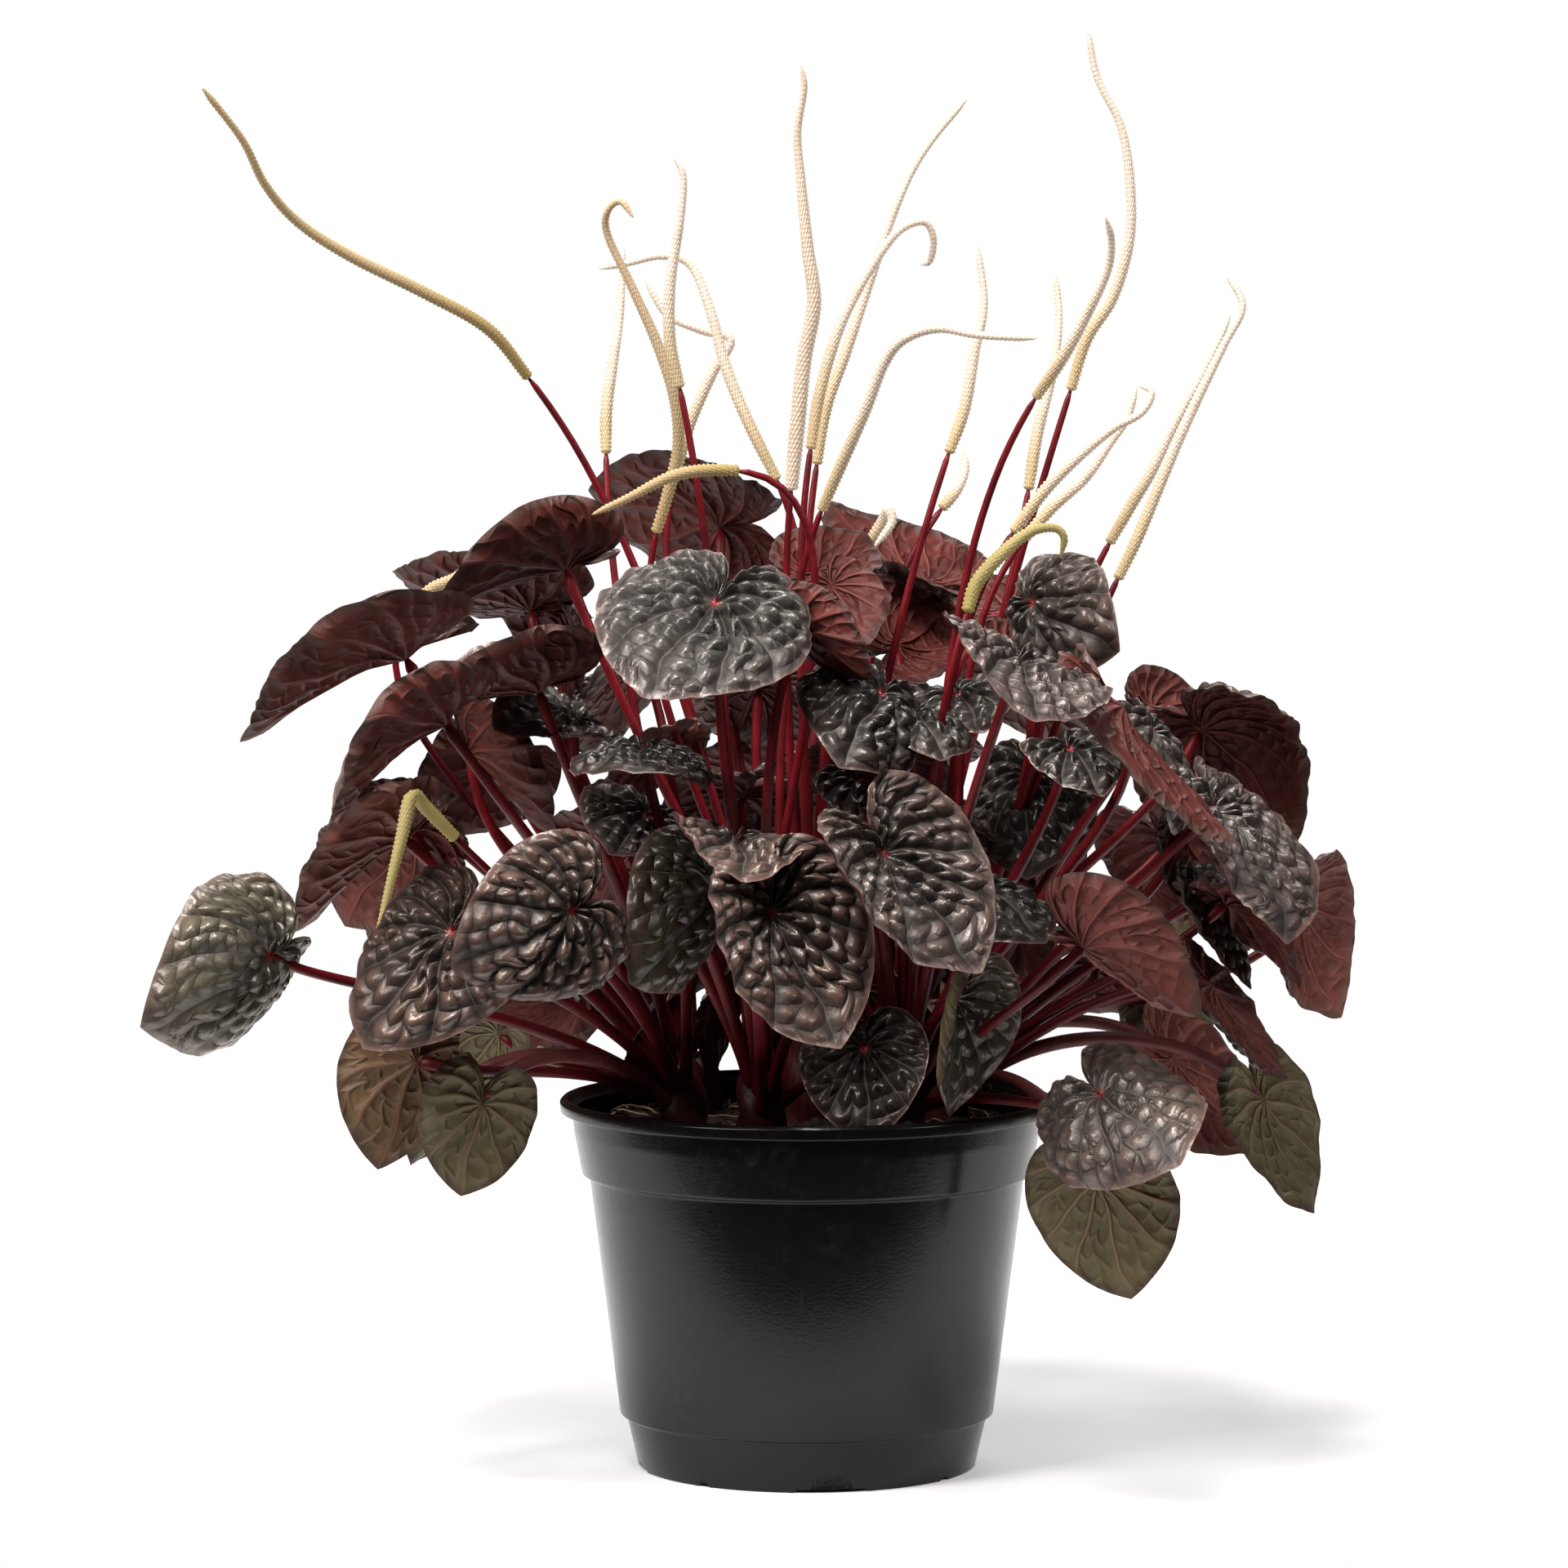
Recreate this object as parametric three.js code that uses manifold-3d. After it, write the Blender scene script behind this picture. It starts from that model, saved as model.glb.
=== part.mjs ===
// A ripple peperomia in a black nursery pot.
// Millimetres, +Z up. The origin is on the pot's axis at the level it stands on.
// The viewer looks along +Y, so -Y is the front and +X the right.

import * as THREE from "three";
import { mergeVertices } from "three/addons/utils/BufferGeometryUtils.js";
import Module from "manifold-3d";

const wasm = await Module();
wasm.setup();

// Pot
const LIP_RADIUS = 76.2;
const POT_HEIGHT = 114;
const WALL = 1.6;
const FLOOR_UNDERSIDE = 6;
const PAD_RADIUS = 18;
const FOOT_RADIUS = 52.1;
const POT_SIDES = 28;
const NOTCH_BEARING = 8;
const NOTCH = { bottom: 23, top: 10, height: 5.6 };
const SMALL_NOTCH = { width: 3, height: 2 };
const DRAIN = { radius: 4.5, circle: 36, count: 8 };

// Soil
const SOIL_TOP = 105;
const SOIL_BUMP = 1.6;
const CLEARANCE = 0.3;
const HOLE_DEPTH = 18;
const SEAM = 0.05;

// Leaves: outline as [degrees from the tip, share of the length]
const OUTLINE = [
  [0, 0.8],
  [28, 0.64],
  [62, 0.54],
  [102, 0.49],
  [148, 0.41],
  [180, 0.1],
];
const SIDE_REACH = 0.465;
const TIP_REACH = 0.8;
const BLADE = 0.85;
const RIPPLE = 0.022;
const EDGE_WAVE = 0.03;
const INNER_RING = 0.56;

// Stalks and spikes: radii at the root and at the end
const PETIOLE = { root: 2.2, end: 1.5, sides: 3, steps: 4, rise: 0.4, arrival: 0.8 };
const LOW_LEAF = POT_HEIGHT + 10;
const STALK_RISE = 0.35;
const PEDUNCLE = { root: 1.7, end: 1.2, sides: 4, steps: 5 };
const SPIKE = { radius: 1.7, bead: 0.3, sides: 5, pitch: 14 };
const ROOT_OFFSET = 4;
const CROWN = { root: 8.5, top: 6.5, sides: 6, steps: 1 };

// Each crown: where it stands on the soil, how tall it is, its leaves and its flower stalks.
// A leaf is [[x, y, z] of its junction, length, clock, lean, turn, cup, droop], in millimetres and
// degrees. Clock is the way its tip points as seen from the front, clockwise from straight up. Lean
// tips it towards the front. Turn rolls it about its midrib: 0 shows the upper face to the front and
// 180 the underside. Cup raises its sides and droop bends its tip back.
// A spike is the list of points that its middle follows, from its stalk to its tip.
const CROWNS = [
  {
    name: "front",
    at: [-14, -32],
    height: 30,
    leaves: [
      [[-10, -132, 183], 55, 158, 5, -35, 25, -10],
      [[17, -52, 135], 38, 180, 35, 10, -5, 20],
      [[-27, -96, 271], 62, 220, 50, 25, -25, 5],
      [[-48, -88, 227], 44, 225, 85, 40, -40, 15],
      [[-48, -68, 206], 38, 235, 70, 25, -15, 20],
      [[-21, -112, 201], 42, 135, 80, -55, 25, 15],
      [[-3, -80, 261], 34, 120, 15, -130, 40, 5],
      [[22, -126, 200], 56, 145, 5, -45, 25, -10],
    ],
    spikes: [
      [
        [-38, -50, 332], [-41, -50, 346], [-41, -50, 363],
        [-38, -50, 382], [-37, -50, 395], [-40, -50, 401],
      ],
      [[-20, -60, 308], [-31, -62, 308], [-41, -65, 306], [-53, -67, 300], [-64, -70, 295]],
      [
        [4, -30, 295], [10, -34, 309], [17, -39, 325], [23, -43, 340],
        [29, -47, 347], [39, -51, 350], [51, -56, 348], [68, -60, 347],
      ],
    ],
  },
  {
    name: "front_right",
    at: [28, -24],
    height: 26,
    leaves: [
      [[45, -60, 150], 44, 190, -5, -55, 60, -10],
      [[85, -96, 127], 54, 125, 55, -20, -60, 15],
      [[82, -78, 169], 50, 120, 10, -125, 50, 5],
      [[90, -92, 238], 66, 145, 5, 98, 15, 20],
      [[61, -112, 254], 53, 155, 75, -50, 10, 15],
      [[32, -60, 236], 36, 125, 70, -60, -40, 35],
      [[78, -56, 225], 31, 130, 60, -45, 5, 30],
      [[52, -84, 185], 36, 110, 50, -60, -45, 40],
      [[22, -72, 243], 49, 210, 70, -5, -60, 40],
      [[45, -36, 240], 32, 130, 70, -35, -5, 30],
      [[15, -60, 216], 26, 150, 60, -35, -20, 25],
    ],
    spikes: [
      [[68, -40, 329], [76, -44, 341], [83, -48, 354], [89, -52, 367], [90, -56, 376], [88, -60, 383]],
      [
        [61, -50, 289], [71, -48, 302], [81, -47, 312], [91, -45, 320],
        [100, -43, 325], [103, -42, 331], [99, -40, 333],
      ],
      [
        [47, -70, 266], [50, -68, 275], [58, -67, 284], [66, -65, 290],
        [73, -63, 291], [76, -62, 288], [75, -60, 282],
      ],
    ],
  },
  {
    name: "right",
    at: [42, 8],
    height: 28,
    leaves: [
      [[139, -5, 113], 48, 160, 0, 125, -15, 20],
      [[121, -34, 151], 46, 145, 0, 105, -10, 20],
      [[128, -24, 177], 44, 120, -5, -105, -15, 50],
      [[120, -12, 176], 40, 155, 10, -70, 15, -5],
      [[123, -42, 207], 64, 140, 35, -70, 5, 25],
      [[67, -40, 268], 45, 130, 60, 20, -60, 60],
      [[104, -38, 230], 43, 140, 15, -75, -25, 60],
      [[114, -8, 200], 30, 190, -10, 130, -35, 40],
      [[68, -6, 214], 46, 185, 45, 10, -60, 25],
      [[63, -2, 250], 28, 85, -55, 130, -35, 25],
      [[87, -62, 96], 46, 162, -5, 200, -10, 15],
    ],
    spikes: [
      [
        [94, -20, 274], [100, -17, 286], [106, -14, 300], [112, -11, 314],
        [119, -9, 329], [127, -6, 345], [133, -3, 357], [128, 0, 367],
      ],
      [[66, -10, 286], [75, -8, 296], [85, -6, 305], [93, -4, 316], [98, -2, 323], [101, 0, 333]],
      [
        [93, 10, 284], [100, 12, 296], [106, 13, 306], [114, 15, 322],
        [122, 17, 336], [127, 18, 346], [131, 20, 355],
      ],
    ],
  },
  {
    name: "back_right",
    at: [26, 32],
    height: 26,
    leaves: [
      [[114, 30, 121], 50, 137, 0, 135, 10, 20],
      [[113, 50, 138], 38, 175, 40, 180, 60, 5],
      [[153, 22, 171], 48, 180, -20, 125, -30, 60],
      [[123, 24, 227], 62, 130, -30, -155, -55, 60],
      [[109, 60, 230], 28, 90, -45, 150, -45, 30],
      [[103, 84, 169], 38, 135, -30, 145, -25, 25],
      [[92, 50, 149], 32, 135, -45, -150, -45, 25],
      [[63, 44, 262], 32, 315, -70, -150, -40, 25],
    ],
    spikes: [
      [
        [81, 10, 331], [86, 10, 347], [94, 10, 360], [99, 10, 378],
        [99, 10, 397], [96, 10, 413], [89, 10, 427], [86, 10, 442],
      ],
      [[69, 30, 300], [72, 35, 318], [77, 40, 338], [79, 45, 354], [78, 50, 368]],
    ],
  },
  {
    name: "middle",
    at: [0, 2],
    height: 46,
    leaves: [
      [[-74, -19, 279], 54, 255, 10, 110, 60, 15],
      [[3, 16, 274], 34, 60, -50, 140, -45, 25],
      [[8, -10, 271], 32, 145, 40, -175, 60, 10],
    ],
    spikes: [
      [
        [-5, -20, 301], [-3, -21, 321], [-1, -22, 341], [2, -24, 358], [0, -25, 375],
        [-2, -26, 395], [-3, -27, 409], [-1, -29, 422], [-2, -30, 429],
      ],
      [
        [1, 0, 313], [4, 3, 331], [10, 5, 351], [19, 8, 368], [28, 10, 380],
        [36, 13, 383], [39, 15, 378], [38, 18, 371], [35, 20, 370],
      ],
      [[43, -10, 312], [48, -7, 326], [51, -5, 343], [54, -2, 358], [52, 0, 376]],
      [
        [-46, -20, 288], [-42, -22, 301], [-39, -24, 315], [-40, -27, 329], [-45, -29, 345],
        [-53, -31, 363], [-60, -33, 378], [-60, -36, 385], [-56, -38, 388], [-52, -40, 383],
      ],
      [
        [-85, 0, 335], [-97, -9, 350], [-116, -17, 361], [-138, -26, 372],
        [-153, -34, 382], [-162, -43, 393], [-168, -51, 406], [-179, -60, 421],
      ],
      [
        [3, 20, 308], [6, 23, 326], [12, 26, 343], [19, 29, 364],
        [26, 31, 384], [32, 34, 398], [39, 37, 409], [50, 40, 422],
      ],
    ],
  },
  {
    name: "back",
    at: [-6, 40],
    height: 30,
    leaves: [
      [[-27, 80, 289], 58, 280, -15, 135, -15, -10],
      [[38, 76, 269], 54, 285, -25, -105, -45, 55],
      [[28, 50, 250], 46, 65, -50, 155, -60, 15],
      [[-15, 44, 238], 32, 210, -55, 170, -45, 25],
    ],
    spikes: [
      [
        [-9, 30, 303], [-18, 31, 321], [-25, 33, 338], [-30, 34, 356],
        [-36, 36, 370], [-45, 37, 373], [-55, 39, 371], [-65, 40, 369],
      ],
      [
        [-42, 60, 302], [-37, 60, 320], [-30, 60, 336], [-24, 60, 347],
        [-33, 60, 350], [-44, 60, 355], [-51, 60, 366],
      ],
      [[19, 70, 281], [24, 68, 289], [26, 65, 293], [27, 63, 289], [21, 60, 281]],
      [[43, 80, 293], [48, 83, 299], [51, 87, 306], [50, 90, 313]],
    ],
  },
  {
    name: "back_left",
    at: [-34, 28],
    height: 24,
    leaves: [
      [[-86, 28, 265], 56, 275, 0, 115, 25, -10],
      [[-122, 14, 196], 54, 215, -40, -180, -60, 35],
      [[-73, 50, 139], 42, 230, -15, -120, -25, 45],
      [[-95, 20, 216], 42, 235, -10, 150, -10, 20],
      [[-95, 10, 133], 30, 220, -40, -175, -60, 25],
      [[-74, 40, 254], 38, 320, -30, 125, -35, 60],
    ],
    spikes: [
      [[-63, 50, 311], [-63, 55, 325], [-61, 60, 341], [-59, 65, 356], [-58, 70, 377]],
    ],
  },
  {
    name: "left",
    at: [-38, -12],
    height: 28,
    leaves: [
      [[-68, -118, 182], 49, 240, 30, -15, -20, 45],
      [[-122, -35, 253], 70, 248, 5, 97, 50, 15],
      [[-80, -74, 245], 60, 255, 15, 93, 60, -10],
      [[-107, -92, 236], 56, 235, 5, 93, 60, 15],
      [[-70, -48, 233], 38, 285, 45, 75, 15, 30],
      [[-101, -30, 223], 46, 140, 10, -110, 50, -10],
      [[-27, -84, 185], 52, 215, 40, -40, -60, 25],
      [[-105, -92, 174], 54, 225, 15, 35, -30, 35],
      [[-159, -66, 164], 60, 225, 45, -40, -60, 50],
      [[-123, -25, 197], 56, 233, 0, 100, 50, 15],
      [[-118, -52, 131], 43, 200, 0, 150, 40, 10],
      [[-106, -26, 119], 34, 215, 0, 125, 10, 10],
      [[-97, -66, 120], 36, 194, -5, 165, 10, 10],
    ],
    spikes: [
      [
        [-106, -32, 196], [-115, -37, 206], [-119, -42, 210],
        [-122, -46, 197], [-126, -51, 180], [-129, -56, 166],
      ],
      [[-123, 9, 262], [-116, 6, 270], [-108, 3, 274], [-103, 0, 279], [-99, -4, 285]],
    ],
  },
];

// The spokes of a blade go once round it, clockwise from the tip, over veins and ridges in turn
const half = OUTLINE.map(([angle, reach], i) => ({ angle, reach, fold: i % 2 ? 1 : -0.6 }));
const mirrored = half.slice(1, -1).reverse();
const SPOKES = [...half, ...mirrored.map((spoke) => ({ ...spoke, angle: -spoke.angle }))];

// Leaves of the far side stand in tiers, tips outwards, shared out among the three back crowns
const TIERS = [
  { z: 240, reach: 98, length: 58, dip: 30, from: 138, to: 236, count: 5 },
  { z: 192, reach: 122, length: 56, dip: 45, from: 118, to: 246, count: 5 },
  { z: 146, reach: 104, length: 46, dip: 60, from: 140, to: 224, count: 3 },
];
const BACK_CROWNS = [
  { name: "back_right", upTo: 164 },
  { name: "back", upTo: 203 },
  { name: "back_left", upTo: 360 },
];

const rad = THREE.MathUtils.degToRad;
const deg = THREE.MathUtils.radToDeg;
const vec = (x, y, z) => new THREE.Vector3(x, y, z);
const polar = (radius, bearing, z) => [
  radius * Math.sin(rad(bearing)),
  -radius * Math.cos(rad(bearing)),
  z,
];

// Solids: a closed three.js geometry becomes a solid, and a solid becomes a geometry
function solid(geometry) {
  const bare = geometry.clone();
  bare.deleteAttribute("normal");
  bare.deleteAttribute("uv");
  const merged = mergeVertices(bare, 1e-4);
  return new wasm.Manifold(
    new wasm.Mesh({
      numProp: 3,
      vertProperties: new Float32Array(merged.attributes.position.array),
      triVerts: new Uint32Array(merged.index.array),
    }),
  );
}

function geometryOf(body) {
  const mesh = body.getMesh();
  const geometry = new THREE.BufferGeometry();
  geometry.setAttribute("position", new THREE.BufferAttribute(mesh.vertProperties, 3));
  geometry.setIndex(new THREE.BufferAttribute(mesh.triVerts, 1));
  return geometry;
}

function joined(bodies) {
  return bodies.reduce((whole, body) => whole.add(body));
}

function named(name, body, material) {
  const mesh = new THREE.Mesh(geometryOf(body), material);
  mesh.name = name;
  return mesh;
}

// A lathe turned about +Z from [radius, height] points
function turned(points, sides) {
  const profile = points.map(([radius, height]) => new THREE.Vector2(radius, height));
  return new THREE.LatheGeometry(profile, sides).rotateX(Math.PI / 2);
}

// A round rod bent along a curve, with its radius given by its place along it
function rod(curve, sides, steps, radiusAt) {
  const geometry = new THREE.CylinderGeometry(1, 1, 1, sides, steps);
  const frames = curve.computeFrenetFrames(steps, false);
  const position = geometry.attributes.position;
  for (let i = 0; i < position.count; i += 1) {
    const along = position.getY(i) + 0.5;
    const step = Math.round(along * steps);
    const angle = Math.atan2(position.getX(i), position.getZ(i));
    const reach = Math.hypot(position.getX(i), position.getZ(i)) * radiusAt(along, step, angle);
    const point = curve
      .getPointAt(along)
      .addScaledVector(frames.normals[step], reach * Math.cos(angle))
      .addScaledVector(frames.binormals[step], reach * Math.sin(angle));
    position.setXYZ(i, point.x, point.y, point.z);
  }
  return solid(geometry);
}

// Pot
function potSolid() {
  const outside = [
    [0, 0],
    [PAD_RADIUS, 0],
    [PAD_RADIUS + 1.5, FLOOR_UNDERSIDE],
    [FOOT_RADIUS - 2.2, FLOOR_UNDERSIDE],
    [FOOT_RADIUS - 1.6, 0],
    [FOOT_RADIUS, 0],
    [55.7, 15.6],
    [57.7, 16.4],
    [67.1, 90],
    [69.4, 90.8],
    [71.8, 103.8],
    [72.4, 109.6],
    [LIP_RADIUS - 0.2, 109.9],
    [LIP_RADIUS, 112.9],
    [75.2, POT_HEIGHT],
  ];
  const inside = [
    [73.9, POT_HEIGHT],
    [73.4, 111.5],
    [70.9, 111.2],
    [70.1, 103.8],
    [67.7, 92.4],
    [65.5, 91.2],
    [55.6, 16.6],
    [52.6, FLOOR_UNDERSIDE + WALL],
    [PAD_RADIUS + 0.2, FLOOR_UNDERSIDE + WALL],
    [PAD_RADIUS - 1.4, WALL],
    [0, WALL],
  ];
  let pot = solid(turned([...outside, ...inside], POT_SIDES));
  for (let quarter = 0; quarter < 4; quarter += 1) {
    pot = pot.subtract(notchCutter(NOTCH_BEARING + 90 * quarter));
    pot = pot.subtract(smallNotchCutter(NOTCH_BEARING + 45 + 90 * quarter));
  }
  for (let i = 0; i < DRAIN.count; i += 1) {
    const [x, y] = polar(DRAIN.circle, NOTCH_BEARING + (i + 0.5) * (360 / DRAIN.count), 0);
    const drill = new THREE.CylinderGeometry(DRAIN.radius, DRAIN.radius, 8, 8).rotateX(Math.PI / 2);
    pot = pot.subtract(solid(drill.translate(x, y, FLOOR_UNDERSIDE + WALL / 2)));
  }
  return pot;
}

// A wide notch in the foot ring, narrower at its top
function notchCutter(bearing) {
  const shape = new THREE.Shape();
  shape.moveTo(-NOTCH.bottom / 2 - 0.5, -1);
  shape.lineTo(NOTCH.bottom / 2 + 0.5, -1);
  shape.lineTo(NOTCH.top / 2, NOTCH.height);
  shape.lineTo(-NOTCH.top / 2, NOTCH.height);
  const block = new THREE.ExtrudeGeometry(shape, { depth: 12, bevelEnabled: false });
  block.rotateX(Math.PI / 2).translate(0, 6 - FOOT_RADIUS, 0);
  return solid(block.rotateZ(rad(bearing)));
}

function smallNotchCutter(bearing) {
  const block = new THREE.BoxGeometry(SMALL_NOTCH.width, 12, 2 * SMALL_NOTCH.height);
  return solid(block.translate(0, -FOOT_RADIUS, 0).rotateZ(rad(bearing)));
}

// Soil, with a lumpy top and a plain hole for each crown
function soilSolid() {
  const profile = [
    [0, WALL + CLEARANCE],
    [PAD_RADIUS - 1.8, WALL + CLEARANCE],
    [PAD_RADIUS, FLOOR_UNDERSIDE + WALL + CLEARANCE],
    [51.6, FLOOR_UNDERSIDE + WALL + CLEARANCE],
    [65, 91],
    [69.7, 103.4],
    [69.8, SOIL_TOP],
    [55, SOIL_TOP],
    [38, SOIL_TOP],
    [20, SOIL_TOP],
    [0, SOIL_TOP],
  ];
  const geometry = turned(profile, POT_SIDES);
  const position = geometry.attributes.position;
  for (let i = 0; i < position.count; i += 1) {
    const x = position.getX(i);
    const y = position.getY(i);
    if (position.getZ(i) > SOIL_TOP - 0.1 && Math.hypot(x, y) < 60) {
      position.setZ(i, SOIL_TOP + SOIL_BUMP * (Math.sin(x / 7 + 1) * Math.cos(y / 9) + 0.4));
    }
  }
  let soil = solid(geometry);
  for (const crown of CROWNS) {
    const radius = (CROWN.root + CLEARANCE) / Math.cos(Math.PI / 8);
    const hole = new THREE.CylinderGeometry(radius, radius, HOLE_DEPTH + 8, 8).rotateX(Math.PI / 2);
    const middle = SOIL_TOP - HOLE_DEPTH + (HOLE_DEPTH + 8) / 2;
    soil = soil.subtract(solid(hole.translate(crown.at[0], crown.at[1], middle)));
  }
  return soil;
}

// The three directions of a blade: along its midrib, out of its upper face, and to its right
function bladeFrame(clock, lean, turn) {
  const along = vec(
    Math.cos(rad(lean)) * Math.sin(rad(clock)),
    -Math.sin(rad(lean)),
    Math.cos(rad(lean)) * Math.cos(rad(clock)),
  );
  const up = vec(0, -1, 0).addScaledVector(along, -vec(0, -1, 0).dot(along)).normalize();
  up.applyAxisAngle(along, rad(turn));
  return { along, up, right: along.clone().cross(up) };
}

// The clock, lean and turn of a blade whose midrib and upper face point the given ways
function attitude(along, up) {
  const clock = deg(Math.atan2(along.x, along.z));
  const lean = deg(Math.asin(-along.y));
  const level = bladeFrame(clock, lean, 0);
  return [clock, lean, deg(Math.atan2(up.dot(level.right), up.dot(level.up)))];
}

// A leaf of the far side: its tip points outwards and down, each rolled a little differently
function outwardLeaf(tier, i) {
  const sway = Math.sin(2.4 * i + tier.z);
  const bearing = THREE.MathUtils.lerp(tier.from, tier.to, i / (tier.count - 1)) + 5 * sway;
  const at = polar(tier.reach + 7 * Math.cos(3.1 * i), bearing, tier.z + 9 * sway);
  const outward = vec(at[0], at[1], 0).normalize();
  const dip = rad(tier.dip + 8 * sway);
  const along = outward.clone().multiplyScalar(Math.cos(dip)).add(vec(0, 0, -Math.sin(dip)));
  const up = outward.clone().multiplyScalar(Math.sin(dip)).add(vec(0, 0, Math.cos(dip)));
  up.applyAxisAngle(along, rad(25 * Math.cos(5 * i + tier.z)));
  const crown = BACK_CROWNS.find(({ upTo }) => bearing < upTo);
  return { crown: crown.name, leaf: [at, tier.length, ...attitude(along, up), -12, 30] };
}

// A flat slab bent twice: its sides by cup, then its length by droop
function bent(x, y, z, length, cup, droop) {
  const across = rad(cup || 0.01) / (SIDE_REACH * length);
  const down = rad(droop || 0.01) / (TIP_REACH * length);
  const side = (1 / across - z) * Math.sin(across * x);
  const rise = 1 / across - (1 / across - z) * Math.cos(across * x);
  const out = (1 / down + rise) * Math.sin(down * y);
  const height = (1 / down + rise) * Math.cos(down * y) - 1 / down;
  return [side, out, height];
}

// A leaf stalk leaves its crown upwards and meets the underside of the blade. The stalk of a low
// leaf arches over the pot's lip and comes down on its leaf from above.
function petioleCurve(root, at, frame) {
  const end = vec(...at).addScaledVector(frame.up, -BLADE / 2);
  const span = end.clone().sub(root);
  const reach = span.length();
  const way = span.clone().normalize();
  const overLip = at[2] < LOW_LEAF;
  const rise = PETIOLE.rise + (overLip ? 0.8 : 0);
  const arrival = overLip ? vec(0, 0, -1.6) : frame.up.clone().multiplyScalar(PETIOLE.arrival);
  const first = way.clone().setZ(Math.max(way.z, 0)).add(vec(0, 0, rise)).normalize();
  const last = way.clone().add(arrival).normalize();
  return new THREE.CubicBezierCurve3(
    root,
    root.clone().addScaledVector(first, reach * 0.38),
    end.clone().addScaledVector(last, -reach * 0.3),
    end,
  );
}

// Rings of points round the stalk, from the blade down to the crown, without a twist
function petioleRings(curve, frame) {
  const rings = [];
  let side = frame.along.clone();
  for (let step = 0; step <= PETIOLE.steps; step += 1) {
    const share = step / PETIOLE.steps;
    const axis = step === 0 ? frame.up.clone() : curve.getTangentAt(1 - share);
    side.addScaledVector(axis, -side.dot(axis)).normalize();
    const cross = side.clone().cross(axis);
    const radius = THREE.MathUtils.lerp(PETIOLE.end, PETIOLE.root, share);
    const ring = [];
    for (let k = 0; k < PETIOLE.sides; k += 1) {
      const angle = (2 * Math.PI * k) / PETIOLE.sides;
      const point = curve.getPointAt(1 - share);
      point.addScaledVector(side, radius * Math.cos(angle));
      ring.push(point.addScaledVector(cross, radius * Math.sin(angle)));
    }
    rings.push(ring);
  }
  return rings;
}

// A leaf with its stalk as one closed skin. Each face of the blade has two rings of points round
// the junction and both faces are split alike; on the underside the stalk grows out of the middle.
function leafGeometry(root, leaf) {
  const [at, length, clock, lean, turn, cup, droop] = leaf;
  const frame = bladeFrame(clock, lean, turn);
  const count = SPOKES.length;
  const points = [];
  const faces = [];
  const place = (share, spoke, offset) => {
    const angle = rad(spoke.angle);
    const reach = share * spoke.reach * length;
    const wave = EDGE_WAVE * share ** 3 * Math.sin(3 * angle + at[0]);
    const fold = RIPPLE * spoke.fold * Math.sin(Math.PI * Math.min(share, 0.85));
    const height = (fold + wave) * length + offset;
    const flat = [reach * Math.sin(angle), reach * Math.cos(angle), height];
    const [x, y, z] = bent(...flat, length, cup, droop);
    const point = vec(...at);
    point.addScaledVector(frame.right, x).addScaledVector(frame.along, y).addScaledVector(frame.up, z);
    return points.push(point) - 1;
  };
  const middle = place(0, SPOKES[0], BLADE / 2);
  const rings = [BLADE / 2, -BLADE / 2].map((offset) =>
    [INNER_RING, 1].map((share) => SPOKES.map((spoke) => place(share, spoke, offset))),
  );
  const [[topInner, topEdge], [underInner, underEdge]] = rings;
  const stalk = petioleRings(petioleCurve(root, at, frame), frame).map((ring) =>
    ring.map((point) => points.push(point) - 1),
  );
  const core = stalk[0];
  const nearest = (i) => Math.round((SPOKES[i].angle + 360) / (360 / PETIOLE.sides)) % PETIOLE.sides;
  for (let i = 0; i < count; i += 1) {
    const j = (i + 1) % count;
    faces.push(middle, topInner[j], topInner[i]);
    faces.push(topInner[i], topInner[j], topEdge[j], topInner[i], topEdge[j], topEdge[i]);
    faces.push(underInner[i], underEdge[j], underInner[j], underInner[i], underEdge[i], underEdge[j]);
    faces.push(topEdge[i], topEdge[j], underEdge[j], topEdge[i], underEdge[j], underEdge[i]);
    faces.push(core[nearest(i)], underInner[i], underInner[j]);
    if (nearest(i) !== nearest(j)) {
      faces.push(core[nearest(i)], underInner[j], core[nearest(j)]);
    }
  }
  for (let step = 0; step < PETIOLE.steps; step += 1) {
    for (let k = 0; k < PETIOLE.sides; k += 1) {
      const next = (k + 1) % PETIOLE.sides;
      const [a, b] = [stalk[step][k], stalk[step][next]];
      const [c, d] = [stalk[step + 1][next], stalk[step + 1][k]];
      faces.push(a, b, c, a, c, d);
    }
  }
  const foot = stalk[PETIOLE.steps];
  for (let k = 1; k < PETIOLE.sides - 1; k += 1) {
    faces.push(foot[0], foot[k], foot[k + 1]);
  }
  const geometry = new THREE.BufferGeometry().setFromPoints(points);
  geometry.setIndex(faces);
  return geometry;
}

// A flower stalk rises from its crown and ends in line with its spike
function peduncleCurve(root, spike) {
  const start = vec(...spike[0]);
  const heading = vec(...spike[1]).sub(start).normalize();
  const end = start.clone().addScaledVector(heading, -CLEARANCE);
  const reach = end.distanceTo(root);
  const way = end.clone().sub(root).normalize();
  const rising = way.add(vec(0, 0, STALK_RISE)).normalize();
  return new THREE.CubicBezierCurve3(
    root,
    root.clone().addScaledVector(rising, reach * 0.35),
    end.clone().addScaledVector(heading, -reach * 0.3),
    end,
  );
}

const spikeCurve = (spike) => new THREE.CatmullRomCurve3(spike.map((point) => vec(...point)));

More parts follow.
